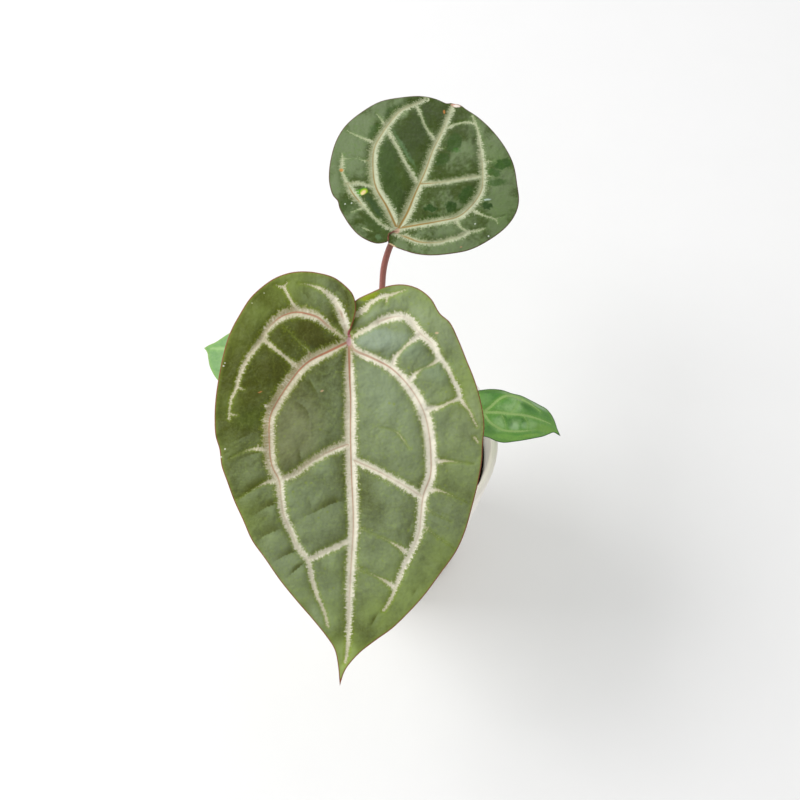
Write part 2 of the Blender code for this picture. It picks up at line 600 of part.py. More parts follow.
def ring_mesh(name, rings):
    """A closed mesh through equal rings that turn the same way. One point closes each end."""
    mesh = bpy.data.meshes.new(name)
    build = bmesh.new()
    loops = [[build.verts.new(np.asarray(point, float) * MM) for point in ring] for ring in rings]
    for lower, upper in zip(loops, loops[1:]):
        count = max(len(lower), len(upper))
        for index in range(count):
            after = (index + 1) % count
            corners = [lower[index % len(lower)], lower[after % len(lower)]]
            corners += [upper[after % len(upper)], upper[index % len(upper)]]
            build.faces.new(list(dict.fromkeys(corners)))
    bmesh.ops.recalc_face_normals(build, faces=build.faces)
    build.to_mesh(mesh)
    build.free()
    return mesh


def stalk_course(blade):
    """The stalk's course, ended just under the blade and square to it, and the way the blade faces."""
    around = onto_plane([blade.seat], blade) + np.array([[0.0, 0.0], [1.0, 0.0], [0.0, 1.0]])
    places, _ = blade_sheet(around, blade)
    facing = unit(np.cross(places[1] - places[0], places[2] - places[0]))
    end = places[0] - facing * (blade.thickness + blade.rib + GAP)
    return np.vstack([blade.stalk, end]), facing


def make_stalk(blade, finish, crown):
    """The stalk, and the hole for its foot in the crown."""
    course, facing = stalk_course(blade)
    add_object(f"petiole_{blade.name}", tube(blade.name, course, blade.stalk_radii, facing), finish)
    wide = [radius + GAP for radius in blade.stalk_radii]
    deeper = np.vstack([course[0] - GAP * unit(course[1] - course[0]), course[1:]])
    cut(crown, cutter(f"socket_{blade.name}", tube(f"socket_{blade.name}", deeper, wide, facing)))


def pot_radius(height):
    """The pot's outer radius at a height."""
    return POT_BASE_RADIUS + (POT_RIM_RADIUS - POT_BASE_RADIUS) * height / POT_HEIGHT


def make_pot(finish):
    """A turned pot with a round lip and a flat base, with drain holes beside the middle."""
    lip = POT_WALL / 2
    middle = pot_radius(POT_HEIGHT) - lip
    profile = [(0.0, POT_FLOOR), (pot_radius(POT_FLOOR) - POT_WALL - POT_CORNER, POT_FLOOR)]
    profile.append((pot_radius(POT_FLOOR + POT_CORNER) - POT_WALL, POT_FLOOR + POT_CORNER))
    for step in range(LIP_STEPS + 1):
        turn = math.pi * (1 - step / LIP_STEPS)
        profile.append((middle + lip * math.cos(turn), POT_HEIGHT - lip + lip * math.sin(turn)))
    profile.append((pot_radius(POT_EDGE), POT_EDGE))
    profile.append((POT_BASE_RADIUS - POT_EDGE, 0.0))
    profile.append((0.0, 0.0))
    mesh = bpy.data.meshes.new("pot")
    links = [(index, index + 1) for index in range(len(profile) - 1)]
    mesh.from_pydata([(x * MM, 0.0, z * MM) for x, z in profile], links, [])
    pot = bpy.data.objects.new("pot", mesh)
    mesh.materials.append(finish)
    bpy.context.scene.collection.objects.link(pot)
    turned = pot.modifiers.new("turned", "SCREW")
    turned.steps = POT_STEPS
    turned.render_steps = POT_STEPS
    turned.use_merge_vertices = True
    turned.merge_threshold = MERGE
    turned.use_smooth_shade = True
    for index in range(DRAIN_COUNT):
        angle = (index + 0.5) * 2 * math.pi / DRAIN_COUNT
        build = bmesh.new()
        bmesh.ops.create_cone(
            build, cap_ends=True, segments=16, radius1=DRAIN_RADIUS * MM, radius2=DRAIN_RADIUS * MM,
            depth=4 * POT_FLOOR * MM,
        )
        hole = bpy.data.meshes.new(f"drain_{index}")
        build.to_mesh(hole)
        build.free()
        helper = cutter(f"drain_{index}", hole)
        helper.location = (DRAIN_CIRCLE * MM * math.cos(angle), DRAIN_CIRCLE * MM * math.sin(angle), 0.0)
        cut(pot, helper)
    return pot


def circle(radius, height, steps):
    angles = np.arange(steps) * 2 * math.pi / steps
    return np.column_stack([radius * np.cos(angles), radius * np.sin(angles), np.full(steps, height)])


def chip_relief(x, y):
    """How far the chips of the mix stand above its level: the highest of many seeded low domes."""
    draw = np.random.default_rng(MIX_SEED)
    reach = pot_radius(MIX_LEVEL)
    relief = np.zeros(np.shape(x))
    for _ in range(CHIP_COUNT):
        centre_x, centre_y = draw.uniform(-reach, reach, 2)
        radius = draw.uniform(*CHIP_RADIUS)
        height = draw.uniform(*CHIP_HEIGHT)
        away = np.hypot(x - centre_x, y - centre_y)
        relief = np.maximum(relief, height * (1 - (away / radius) ** 2))
    return relief


def make_mix(finish):
    """The potting mix: it fills the pot to its level and has a plain hole for the crown."""
    hole = CROWN_RADIUS + GAP
    bottom = POT_FLOOR + GAP
    corner = bottom + POT_CORNER
    rings = [circle(0.0, bottom, 1)]
    rings.append(circle(pot_radius(bottom) - POT_WALL - POT_CORNER - 2 * GAP, bottom, MIX_STEPS))
    rings.append(circle(pot_radius(corner) - POT_WALL - 2 * GAP, corner, MIX_STEPS))
    edge = pot_radius(MIX_LEVEL) - POT_WALL - 2 * GAP
    for row in range(MIX_RINGS + 1):
        radius = edge + (hole - edge) * row / MIX_RINGS
        ring = circle(radius, MIX_LEVEL, MIX_STEPS)
        calm = min(1.0, (edge - radius) / CALM_RING) * min(1.0, (radius - hole) / CALM_RING)
        ring[:, 2] += calm * chip_relief(ring[:, 0], ring[:, 1])
        rings.append(ring)
    rings.append(circle(hole, MIX_LEVEL - CROWN_DEPTH - GAP, MIX_STEPS))
    rings.append(circle(0.0, MIX_LEVEL - CROWN_DEPTH - GAP, 1))
    return add_object("soil", ring_mesh("soil", rings), finish)


def crown_radius(height):
    """Above the mix the crown is ringed by old leaf scars, and it rounds off at its top."""
    above = max(0.0, height - MIX_LEVEL)
    scars = SCAR_HEIGHT * (math.cos(2 * math.pi * above / SCAR_SPACING) - 1)
    shoulder = math.sqrt(max(0.0, 1 - (above / (CROWN_TOP - MIX_LEVEL)) ** CROWN_SHOULDER))
    return (CROWN_RADIUS + scars) * shoulder


def make_crown(finish):
    foot = MIX_LEVEL - CROWN_DEPTH
    heights = [foot] + list(np.linspace(MIX_LEVEL, CROWN_TOP, CROWN_ROWS, endpoint=False))
    rings = [circle(0.0, foot, 1)]
    rings += [circle(crown_radius(height), height, CROWN_STEPS) for height in heights]
    rings.append(circle(0.0, CROWN_TOP, 1))
    return add_object("crown", ring_mesh("crown", rings), finish)


def make_sheath(name, direction, spread, height, lean, finish):
    """A thin pointed sheath that stands on the mix against the crown and leans out towards its tip."""
    foot = MIX_LEVEL + GAP
    inner = CROWN_RADIUS + GAP
    points = []
    for layer in (0.0, SHEATH_THICKNESS):
        for row in range(SHEATH_ROWS + 1):
            share = row / SHEATH_ROWS
            narrow = SHEATH_TIP + (1 - SHEATH_TIP) * math.sqrt(1 - share**SHEATH_TAPER)
            for step in range(SHEATH_STEPS + 1):
                turn = direction + spread * narrow * (2 * step / SHEATH_STEPS - 1)
                radius = inner + layer + lean * share**2
                points.append((radius * math.cos(turn), radius * math.sin(turn), foot + height * share))
    return add_object(name, ring_mesh(name, sheath_rings(points)), finish)


def sheath_rings(points):
    """The two layers' rows, joined into one loop per row, with the middle of the end rows to close them."""
    wide = SHEATH_STEPS + 1
    layer = wide * (SHEATH_ROWS + 1)
    points = np.array(points)
    loops = []
    for row in range(SHEATH_ROWS + 1):
        inner = points[row * wide : (row + 1) * wide]
        outer = points[layer + row * wide : layer + (row + 1) * wide]
        loops.append(np.vstack([outer, inner[::-1]]))
    first, last = loops[0], loops[-1]
    middle = wide // 2
    starts = (first[middle] + first[-middle - 1]) / 2
    ends = (last[middle] + last[-middle - 1]) / 2
    return [[starts]] + loops + [[ends]]


def main():
    clear_scene()
    glaze = material("white_matt", (0.80, 0.78, 0.74), 0.55)
    bark = material("coarse_mix", (0.10, 0.065, 0.04), 0.95)
    stem = material("crown_skin", (0.22, 0.23, 0.10), 0.7)
    paper = material("dry_sheath", (0.36, 0.24, 0.13), 0.8)
    stalk_skin = material("stalk_skin", (0.28, 0.13, 0.10), 0.5)
    velvet = material("velvet_green", (0.16, 0.21, 0.07), 0.5)
    glossy = material("young_green", (0.12, 0.30, 0.06), 0.35)
    make_pot(glaze)
    make_mix(bark)
    crown = make_crown(stem)
    for blade, finish in ((MAIN, velvet), (TOP, velvet), (RIGHT_LEAF, glossy), (LEFT_LEAF, glossy)):
        make_blade(blade, finish)
        make_stalk(blade, stalk_skin, crown)
    for name, (direction, spread, height, lean) in SHEATHS.items():
        make_sheath(name, direction, spread, height, lean, paper)


main()
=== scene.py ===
"""Looks of the potted anthurium: fine blades with grooved, feather-edged veins, stalks, sheaths, mix and pot.

Numbers are in millimetres. A blade is drawn as (right, up) from the place where its stalk joins, as it looks
from EYE, and each drawn point is carried along its sight line to the blade's plane.
"""

import math
from dataclasses import dataclass
from dataclasses import field

import bpy
import numpy as np
from mathutils import Matrix
from mathutils import Vector
from mathutils.geometry import delaunay_2d_cdt


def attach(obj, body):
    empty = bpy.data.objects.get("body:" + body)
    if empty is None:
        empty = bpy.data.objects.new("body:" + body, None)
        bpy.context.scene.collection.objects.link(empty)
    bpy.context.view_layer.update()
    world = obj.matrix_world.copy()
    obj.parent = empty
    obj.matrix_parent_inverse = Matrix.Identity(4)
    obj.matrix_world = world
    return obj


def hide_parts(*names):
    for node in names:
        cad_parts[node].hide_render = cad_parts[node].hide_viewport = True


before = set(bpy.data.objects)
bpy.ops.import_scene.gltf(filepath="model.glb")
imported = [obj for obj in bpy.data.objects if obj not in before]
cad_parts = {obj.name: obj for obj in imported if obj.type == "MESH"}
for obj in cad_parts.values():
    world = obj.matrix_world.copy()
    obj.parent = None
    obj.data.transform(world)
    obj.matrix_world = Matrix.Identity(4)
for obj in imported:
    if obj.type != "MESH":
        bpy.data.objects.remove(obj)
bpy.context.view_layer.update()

MM = 0.001

# Camera: the photograph's place and angle, and its focal length in pixels of its 800 pixel frame
EYE = np.array([9.3, -389.7, 740.2])
SIGHT_SLOPE = math.radians(57.0)
RIGHTWARD = np.array([1.0, 0.0, 0.0])
UPWARD = np.array([0.0, math.sin(SIGHT_SLOPE), math.cos(SIGHT_SLOPE)])
FOCAL_PIXELS = 1444.0
FRAME_PIXELS = 800.0
SENSOR_WIDTH = 36.0
NEAREST_SHOWN = 0.01

# Studio, in metres
FLOOR_REACH = 30.0
SKY_STRENGTH = 0.75
KEY_PLACE = (-1.03, 0.25, 1.2)
KEY_TARGET = (0.0, 0.0, 0.15)
KEY_SIZE = 1.0
KEY_POWER = 13.5

# Meshing of the blades
ROW_RATIO = math.sin(math.radians(60))
OUTLINE_CLEARANCE = 0.6
MERGE_DISTANCE = 1e-4
CURVE_STEPS = 12
VEIN_STEP = 1.5
CHUNK = 4000

# Relief of the blades
GROOVE_SPREAD = 0.5
GROOVE_BLUR = 0.8
GROOVE_SHARPNESS = 1.5
FULL_VEIN = 3.0
FAINTEST_VEIN = 0.35
FULL_RIB = 4.0
BULGE_SPAN = 0.9
OFF_VEIN = 99.0
RUN_STRIDE = 40.0
SLIMMEST_WALL = 0.4
# The way from a vein's middle to its wall that is painted lit; the other wall is painted in shade
PAINTED_LIT_WALL = (0.8, -0.6)
CREASE_DEPTH = 0.4
# How much of a fold's painted shade is painted as light on its right side
CREASE_PAINTED_LIGHT = 0.6
TIP_ROOT_REACH = 3.0
TIP_FOLD_WIDTH = 9.0
MARGIN_THICKNESS = 0.25
MARGIN_TAPER = 4.0
TIP_FLESH = 0.5
TIP_FLESH_REACH = 5.0
WAVE_SEED = 4
WAVE_COUNT = 18
WAVE_LENGTHS = (8.0, 17.0)

# The notch of the large blade: the line between its lobes, and how the right one curls in under the left
NOTCH_START = 0.25
NOTCH_SLOPE = 0.3
TUCK_START = 0.8
TUCK_RISE = 4.4
TUCK_END = 25.6
TUCK_FALL = 9.6
TUCK_REACH = 4.0
TUCK_DROP = 0.85

# The notch of the rounder blade, where one lobe slips a little under the other
LAP_WAY = (-1.0, 0.35)
LAP_SHIFT = 0.45
LAP_DROP = 0.8
LAP_START = 0.2
LAP_REACH = 1.6

# Finish: how soft the faintest stain is, how wide the painted shade beside a vein is, and where veins get
# painted shade or turn tan
SOFTEST_STAIN = 1.1
PAINTED_SHADE_REACH = 4.5
SHADED_SIDE = (2.0, -26.0)
SHADED_LOW = (-75.0, -45.0)
WALL_SHADE_AND_TAN_SIDE = (25.0, -30.0)
WALL_SHADE_LOW = (-85.0, -45.0)

# Stalks: where they leave the crown, and how far into the rib they end
FOOT_HEIGHT = 97.0
STALK_SIDES = 28
STALK_STEP = 1.5
STALK_BITE = 0.6

# Mix, pot and crown
MIX_LEVEL = 90.0
MIX_RADIUS = 52.8
CROWN_RADIUS = 9.5
CROWN_CLEARANCE = 1.0
REST = 0.75
COVER = 0.7

# Chips: rings of points, and the ranges that their shapes are drawn from, as shares of their size
CHIP_ROWS = 5
CHIP_SIDES = 8
CHIP_TILT = 0.5
CHIP_BREADTHS = (0.45, 0.8)
CHIP_REACHES = (0.78, 1.12)
CHIP_WOBBLE = 0.1
LONGEST_CHIP = 1.15


@dataclass
class Blade:
    """One leaf blade, drawn from its base, where the stalk joins, as (right, up). A vein is its course and
    its width from start to end, and where that is less than 0 only a groove with a faint line is left. A
    swell is its place, reach and height."""

    name: str
    base: tuple
    seat: tuple
    faces: tuple
    left_edge: list
    right_edge: list
    veins: list
    stalk: list
    stalk_radii: tuple
    half_width: float
    thickness: float
    rib: float
    puff: float
    groove: float
    rise: float
    arch: float
    bulge: float
    swells: list = field(default_factory=list)
    tuck: float = 0.0
    lap: list = field(default_factory=list)
    tip_fold: float = 0.0


# The large blade in front
MAIN = Blade(
    name="main", base=(-13.7, -12.3, 210), seat=(0, -1.4), faces=(0, -0.5446, 0.8387),
    stalk_radii=(2.3, 1.9, 1.8, 1.8, 2.1, 1.9), half_width=60, thickness=0.8, rib=1, puff=1.4, groove=0.9,
    rise=0.19, arch=0.002, bulge=3, tuck=3.2,
    left_edge=[
        (-0.1, 1), (0.8, 4.6), (2.2, 8.4), (3.2, 14), (1.8, 19.8), (-1.8, 23.9), (-6.8, 27.5), (-13.1, 29.4),
        (-19.8, 30.2), (-26.6, 29.6), (-33.3, 27.2), (-39.2, 23.2), (-44.6, 18), (-49.1, 11), (-53.1, 3.6),
        (-55.8, -4.1), (-58.1, -14.4), (-59.9, -25.7), (-60.5, -34.7), (-60.1, -43.7), (-58.3, -50),
        (-57.4, -57.2), (-54.9, -64.4), (-51.8, -72.9), (-47.7, -81.9), (-43.7, -90.9), (-37.8, -99.2),
        (-31.1, -108.9), (-23.4, -118.4), (-16.2, -126.7), (-9.9, -134.6), (-6.5, -140), (-5, -146.7),
        (-4.1, -156.6),
    ],
    right_edge=[
        (-4.1, -156.6), (-2.3, -150.8), (-0.2, -147.2), (5, -141.5), (12.2, -135.9), (19.4, -130.7),
        (26.6, -123.8), (33.8, -115.9), (41, -106.2), (48.2, -96.1), (52.2, -87.3), (55.4, -76.3),
        (58.1, -65.3), (59.9, -54.9), (60.3, -47.3), (61, -38.7), (59.6, -29.3), (56.7, -18.9), (53.1, -9.9),
        (49.5, -0.9), (45.5, 7.2), (41, 11.3), (36.9, 18), (31.1, 22.5), (24.3, 24.3), (16.7, 23.4),
        (9.9, 20.3), (5.4, 16.4), (5.1, 11.7), (3.7, 8.1), (2, 4.5), (0.7, 1.4),
    ],
    veins=[
        ([(0, -1), (0.4, -19), (0.8, -28), (0.7, -41), (1.1, -59.5), (2, -84), (1.1, -100), (0.4, -113.5),
         (0, -127), (-0.7, -140.5), (-1.8, -146)], (3.4, 4.4, 5.2, 5, 4.8, 4.4, 3.7, 2.5, 1)),
        ([(-0.9, -1.8), (-8.6, -5.6), (-17.6, -10.1), (-22.1, -14), (-28.8, -23), (-34.2, -32), (-35.6, -36),
         (-35.8, -48.2), (-34.7, -57.2), (-31.5, -63.9), (-30.6, -71.6), (-29.3, -79.7), (-26.1, -86.9),
         (-23, -94.1), (-18.5, -99.9), (-16.7, -108), (-13.5, -117.9), (-11.3, -122.4), (-9.5, -129.6)],
         (4.2, 5, 5, 4.7, 3.5, 2.8, 2, 1)),
        ([(0.9, -2.3), (2.3, -5), (10.4, -8.8), (18.5, -13.1), (24.8, -18.9), (30.2, -26.1), (33.8, -33.3),
         (36, -42.3), (36.9, -52.7), (36.7, -61.7), (33.5, -70.7), (32.4, -79.7), (31.5, -87.8),
         (28.4, -95.4), (24.8, -102.6), (21.6, -110.3), (19.1, -117), (15.8, -122.4)],
         (3.2, 3.9, 5.1, 5.1, 4.5, 3.4, 2.2, 1)),
        ([(-1.4, -0.5), (-8.6, 4.9), (-13.9, 9.4), (-18.9, 11.1), (-24, 11.8), (-29.7, 10.2), (-33.6, 7.5),
         (-36.9, 3.8), (-39, -0.2), (-42.8, -5), (-45.6, -8.9), (-47.8, -13.4), (-49.7, -18.2),
         (-50.6, -22.1), (-52.8, -26.8), (-53.8, -32.2), (-54, -36.6)],
         (2, 3.2, 4.1, 4, 2.6, 2.3, 1.8, 0.9, 0.5)),
        ([(0.9, 0), (7.7, 3.9), (15.3, 8.3), (23.9, 9.9), (28.4, 7.4), (31.7, 2.6), (37.3, -2.2),
         (40.2, -7.6), (43.7, -12.2), (46.8, -18.2), (49.2, -23.2), (50.4, -27.7), (53.2, -31.2),
         (55.3, -34.6), (56.5, -37.7), (57.6, -39.6)],
         (1.2, 2, 3.6, 3.6, 3.6, 3.8, 2.3, 1.7, 2.3, 0.8, 0.6)),
        ([(-0.6, 2), (-1.3, 5.2), (-2.4, 8.4), (-4, 12.6), (-6.2, 16.6), (-9.6, 20.2), (-13.2, 22.5),
         (-17.1, 23.9), (-22.9, 24.9)], (3, 3.8, 3.8, 3, 2.1, 1.2, 0.3, -0.5)),
        ([(1.4, 2.3), (3.2, 6.6), (5.6, 10.6), (8.4, 13.2), (10.4, 16.2), (13, 18.2), (16, 19.3), (19, 19.6),
         (23.4, 21.2), (25.6, 21.8)], (0.6, 0.6, 1.8, 1.6, 2, 1, 0.2)),
        ([(16.9, 19.2), (17, 17.4), (16.4, 15.2)], (1.8, 0.7, 0)),
        ([(-22.7, 12.2), (-25.2, 15.3), (-26.8, 18.4), (-29.6, 23.2)], (2.8, 1.2, 1, 1.3)),
        ([(-33.4, 24.1), (-29.7, 23.3), (-27.5, 25.3)], (0, 1, 0.2)),
        ([(-39, 0), (-31.4, -6.2), (-22.8, -13.4)], (2.4, 1.3, 1.3, 2.6)),
        ([(-50.6, -21.8), (-47.4, -23)], (1.4, 0.2)),
        ([(-53.8, -34), (-50.4, -34.6)], (0.8, 0)),
        ([(-30.5, 6.5), (-26, 2), (-21.6, -2.6), (-18.4, -5.6), (-16.6, -9)], (-0.8, -0.9, -0.5, -0.2, 1.2)),
        ([(-33.8, -31.6), (-36.4, -30.4)], (2.8, 1.6)),
        ([(13.3, -39.8), (20.5, -41.5), (24, -45), (27, -49.4)], (-0.9, -0.6, 0.4, -0.4)),
        ([(56.6, -44.6), (58.2, -46.8)], (0.9, 0.5)),
        ([(0.5, -47.3), (-7.7, -50.4), (-16.7, -55.4), (-24.8, -61.2), (-31.1, -63.9)], (3.6, 2.4)),
        ([(0.9, -90.9), (-6.3, -94.1), (-14.9, -98.1), (-18, -99.5)], (2.6, 2.2)),
        ([(1.4, -54.5), (10.4, -58.5), (19.4, -63.2), (28.4, -68.4), (32.9, -71.6)], (3.4, 3.2)),
        ([(1.6, -102.6), (5, -104), (14, -108), (19.8, -111.6)], (0.6, -0.4, 0.4, 2.4)),
        ([(2, -84), (10, -87.5), (19.9, -92.3), (25.6, -96)], (-0.6, -0.6, 0, 2.2)),
        ([(19.8, -11.4), (21, -8.2), (23.6, -5.6), (26.4, -2.7), (28.6, -0.9), (31.6, 1.4)],
         (2.8, 2, 0.9, 1.1, 2, 3.2)),
        ([(27.5, -18.8), (29.5, -16.4), (33.8, -13.2), (36.8, -12), (40.6, -9.4)],
         (2.8, 1.4, -0.2, 0.8, 2.2)),
        ([(33.4, -32.4), (37, -31.8), (41, -30.7), (44.5, -29.2), (49.8, -26.8)], (3.6, 2.2, 1.2, 1, 2.2)),
        ([(37.8, -54.8), (41, -55.2), (46, -55.4), (56, -56.4)], (2.6, 0.8, -0.4, -0.8)),
        ([(34.2, -68), (41, -68.6), (53, -73.8)], (3, 0.8, -0.4, -0.8)),
        ([(32.6, -83.6), (38, -88), (43, -91.4), (48, -95)], (0.8, -0.3, -0.4, -0.8)),
        ([(33.5, -75), (36, -77.5), (46, -82.5)], (0.4, -0.5, -0.8)),
        ([(-36.5, -50), (-44.6, -50), (-54, -54)], (3, 0.9, -0.4, -0.6)),
        ([(-33, -64), (-36.6, -64.6), (-52, -73)], (2.6, 0.4, -0.6, -0.8)),
    ],
    stalk=[
        (-2.8, -3.2, FOOT_HEIGHT), (-4.2, -4.2, 112), (-7.5, -5, 140), (-10.6, -5.2, 168),
        (-12.6, -6.6, 190),
    ],
    swells=[
        ((-1, 15), 9, 1.6), ((-58, -48), 12, -1.6), ((-46, -20), 16, 1.2), ((60, -48), 12, 1.4),
        ((44, -100), 16, -1.8), ((-40, -96), 14, 1.5), ((-30, 28), 14, -2), ((30, 24), 14, -2.2),
    ],
)

# The rounder blade behind, which leans away
TOP = Blade(
    name="top", base=(8.3, 60.6, 198), seat=(0.5, 1.1), faces=(0.02, 0.05, 1),
    stalk_radii=(2.1, 1.7, 1.5, 1.45, 1.45, 1.6, 1.5), half_width=46, thickness=0.75, rib=0.8, puff=1.2,
    groove=0.8, rise=0.05, arch=0.0011, bulge=2.6, tip_fold=1.3,
    left_edge=[
        (-0.6, -0.3), (-1.6, -0.52), (-2.9, -0.95), (-4.1, -1.75), (-4.64, -2.7), (-4.7, -3.9), (-4.6, -4.9),
        (-5.2, -5.6), (-7.2, -6.2), (-10.1, -6.4), (-13.9, -5.3), (-18.7, -2.6), (-22.5, 1.2), (-26.2, 6.6),
        (-28.4, 10.8), (-29.3, 14.2), (-31.6, 17), (-33, 21.2), (-33.5, 25.4), (-32.7, 34), (-29.8, 43.7),
        (-25.2, 50.9), (-18.4, 56.7), (-8.7, 62.3), (1, 64.3), (10.7, 65), (18.4, 63.8), (24, 61.4),
        (26.4, 62.8), (28.3, 67),
    ],
    right_edge=[
        (28.3, 67), (29.2, 62.2), (32, 59.4), (38.8, 54.8), (45.6, 48.5), (51.9, 40.3), (56, 32),
        (57.9, 21.8), (58.7, 14.1), (57.2, 8.2), (52.9, 1.9), (44.6, -4.6), (34.9, -9.5), (25.2, -11.4),
        (15.5, -12.1), (8.2, -11.3), (2.9, -9.7), (-1.6, -8), (-3.9, -6.7), (-4.42, -5.9), (-4.44, -4.9),
        (-4.52, -3.9), (-4.46, -2.78), (-3.96, -1.9), (-2.82, -1.12), (-1.6, -0.7), (0.2, -0.9),
    ],
    veins=[
        ([(0, 0.5), (4.4, 8.2), (8.7, 18.4), (13.1, 28.1), (17, 38.8), (21.8, 48.5), (25.2, 56.7),
         (26.2, 59.7)], (5, 5.4, 4.5, 4.1, 4, 3.3, 2.6)),
        ([(-1, 1.9), (-5.3, 11.2), (-10.7, 20.9), (-12.1, 30.1), (-11.4, 39.8), (-7.8, 46.6), (-2.9, 53.4),
         (1.9, 58.2), (8.7, 61.1), (13, 63.4)], (5, 5.4, 4.8, 4.4, 4.1, 3.8, 2.8)),
        ([(-1.4, 0.2), (-5.8, 1.6), (-11.2, 5.6), (-17.1, 12), (-21.9, 17.8), (-24.1, 21.8), (-26.2, 25.6),
         (-27.2, 30.4), (-26.9, 34.6), (-27.2, 37.2)], (2.6, 1.6, 1.4, 2, 3.6, 4.2, 2.2, 1.4, 2.2, 0.3)),
        ([(1, 1), (10.7, 2.7), (20.4, 4.4), (29.1, 6.5), (35.4, 11.6), (40.3, 18.9), (41.2, 26.7),
         (40.3, 37.3), (38.8, 47.5), (36, 55.6)], (3.8, 4.6, 4.8, 4.5, 4.2, 3.6, 3.4, 2.4, 1.5, 1)),
        ([(-2, -2), (1.4, -2.5), (5.8, -4.1), (9.8, -5.6), (14, -6.1), (19.6, -5.9), (26.1, -4.3),
         (31, -2.8), (34.2, -0.8), (38, -0.4), (42.4, 1)], (1.8, 3.8, 3.7, 3.4, 3.2, 2.8, 2.8, 1.7, 0.5)),
        ([(-24.4, 22.4), (-18.7, 22.6), (-12, 21)], (3.2, 2, 2.8)),
        ([(-5.2, 48.2), (-0.4, 40.2), (3.9, 31.8), (9, 23.4)], (2.8, 1.7, 1.9, 2.8)),
        ([(8.7, 60.5), (11.5, 54.6), (13.4, 49.7), (18, 43.6)], (2.2, 1.3, 1.3, 2.2)),
        ([(11.4, 22.4), (23.4, 23.4), (34.2, 25.4), (41, 26), (45.4, 26.2)], (4.6, 3.4, 3, 3.2, 3.2, 0.2)),
        ([(23.6, 49.6), (28.3, 51.4), (34.2, 52.2), (37, 51.6)], (3, 1.4, 1.4, 1.8)),
        ([(-12.1, 42.7), (-17.9, 44.8), (-24.9, 48.3)], (2.2, 0.9, 0.3)),
        ([(-5.4, 49.6), (-8.4, 54), (-10.6, 56.4)], (2.6, 1, 0)),
        ([(28, 4.8), (29.4, 2.2), (31.4, 0.4), (34.2, -0.8)], (2.8, 1.2, 1.2, 1.8)),
        ([(35.6, 9.8), (41.2, 7.2), (47.2, 5.4)], (2.8, 1, 0.9)),
        ([(47.2, 5.4), (47.8, 3.6)], (0.9, 0.2)),
        ([(47.2, 5.4), (52, 7.2)], (0.4, -0.7)),
        ([(40.8, 33.6), (43.2, 33.2), (46, 33.4)], (2.2, 0.8, 0)),
        ([(18.2, 39.8), (22.2, 39.4)], (2, 0.1)),
        ([(-16.8, 11), (-19.8, 9.8), (-23, 8.6)], (1.8, 0.8, 0.2)),
        ([(-17.4, 1.2), (-13, -0.6)], (0.2, 1, 0.2)),
        ([(-26.4, 34.7), (-20.9, 34.6), (-16, 33.6), (-12, 33.8)], (0.8, -0.7, 0.4, 2.4)),
    ],
    stalk=[
        (1.8, 4.4, FOOT_HEIGHT), (1.5, 10.5, 112), (0.6, 24, 136), (0, 38, 159), (0.5, 46, 171.8),
        (1.5, 51.5, 181.5), (4.4, 56.6, 190.2),
    ],
    swells=[
        ((20, 62), 10, -1.4), ((34, 58), 10, -1.2), ((-30, 40), 12, -1.5), ((54, 30), 12, 1.5),
        ((20, -12), 12, 1.4), ((-14, -5), 9, 1.3), ((-4, -4), 5, 0.9), ((0.5, -6), 5, -0.7),
    ],
    lap=[
        (-0.2, -0.6), (-1.6, -0.62), (-2.86, -1.04), (-4, -1.82), (-4.55, -2.74), (-4.6, -3.9), (-4.5, -5.2),
    ],
)

# The small blade at the right of the rim
RIGHT_LEAF = Blade(
    name="right", base=(51, 0, 128.8), seat=(1.2, -0.3), faces=(0.22, -0.2, 0.955),
    stalk_radii=(1.6, 1.3, 1.2, 1.15, 1.35, 1.2), half_width=16, thickness=0.65, rib=0.5, puff=0.7,
    groove=0.4, rise=0.12, arch=0.0085, bulge=1.2,
    left_edge=[
        (-0.4, 0.4), (-2.5, 2), (-5.8, 4), (-7.6, 7), (-6.2, 10.1), (-1.6, 11.1), (4, 11.7), (9.5, 11.2),
        (14.3, 9.6), (19.1, 8.4), (23.9, 6.1), (28.6, 3.6), (31.9, 1.7), (34.4, -1.2), (36, -4.4),
        (37.3, -8.3), (38.9, -11.9),
    ],
    right_edge=[
        (38.9, -11.9), (35.6, -10.2), (33.5, -10.8), (30.6, -12), (25.5, -13.1), (20.1, -14.1),
        (15.3, -14.8), (10.4, -15.3), (6.3, -14.4), (3, -12.8), (-1, -11.8), (-4.8, -10.2), (-6.8, -7.2),
        (-5.6, -3.9), (-2.6, -1.6), (-0.4, -0.5),
    ],
    veins=[
        ([(0.6, 0), (7.9, -0.1), (14.1, -0.8), (20.1, -1.4), (25.6, -2.7), (30.3, -4.3), (34.1, -6)],
         (1.4, 1.3, 1.2, 0.4)),
        ([(0.8, 0.5), (4, 2.9), (7.2, 5.9), (10, 7.7), (14.1, 8.4), (18.5, 6.9), (24, 4), (29, 0.2)],
         (1.3, 1.2, 1.2, 0.3)),
        ([(0.8, -1.2), (3, -4.5), (6.3, -7), (10, -8.9), (14.3, -9.5), (21, -9.4), (27, -8.6)],
         (1.3, 1.2, 1, 0)),
        ([(-0.3, 1.2), (-2.6, 5), (-2, 8.6)], (1.1, 0.5)),
        ([(-0.3, -1.2), (-2.6, -5), (-2, -8.8)], (1.1, 0.5)),
        ([(13.8, -0.6), (17, 3.4), (18, 6.8)], (0.4, 0.2)),
        ([(9, -0.4), (11, -5), (11.6, -9.2)], (0.4, 0.2)),
        ([(20, -1.4), (22.4, -5.5), (22, -9.4)], (0.4, 0.2)),
    ],
    stalk=[(5.2, -1.2, FOOT_HEIGHT), (8.6, -1.6, 107), (19, -1.6, 116), (33, -1, 122), (44, -0.4, 124.4)],
    swells=[((4, 12), 7, -1.2), ((9, -15), 8, -1.2), ((30, -12), 6, -0.8)],
)

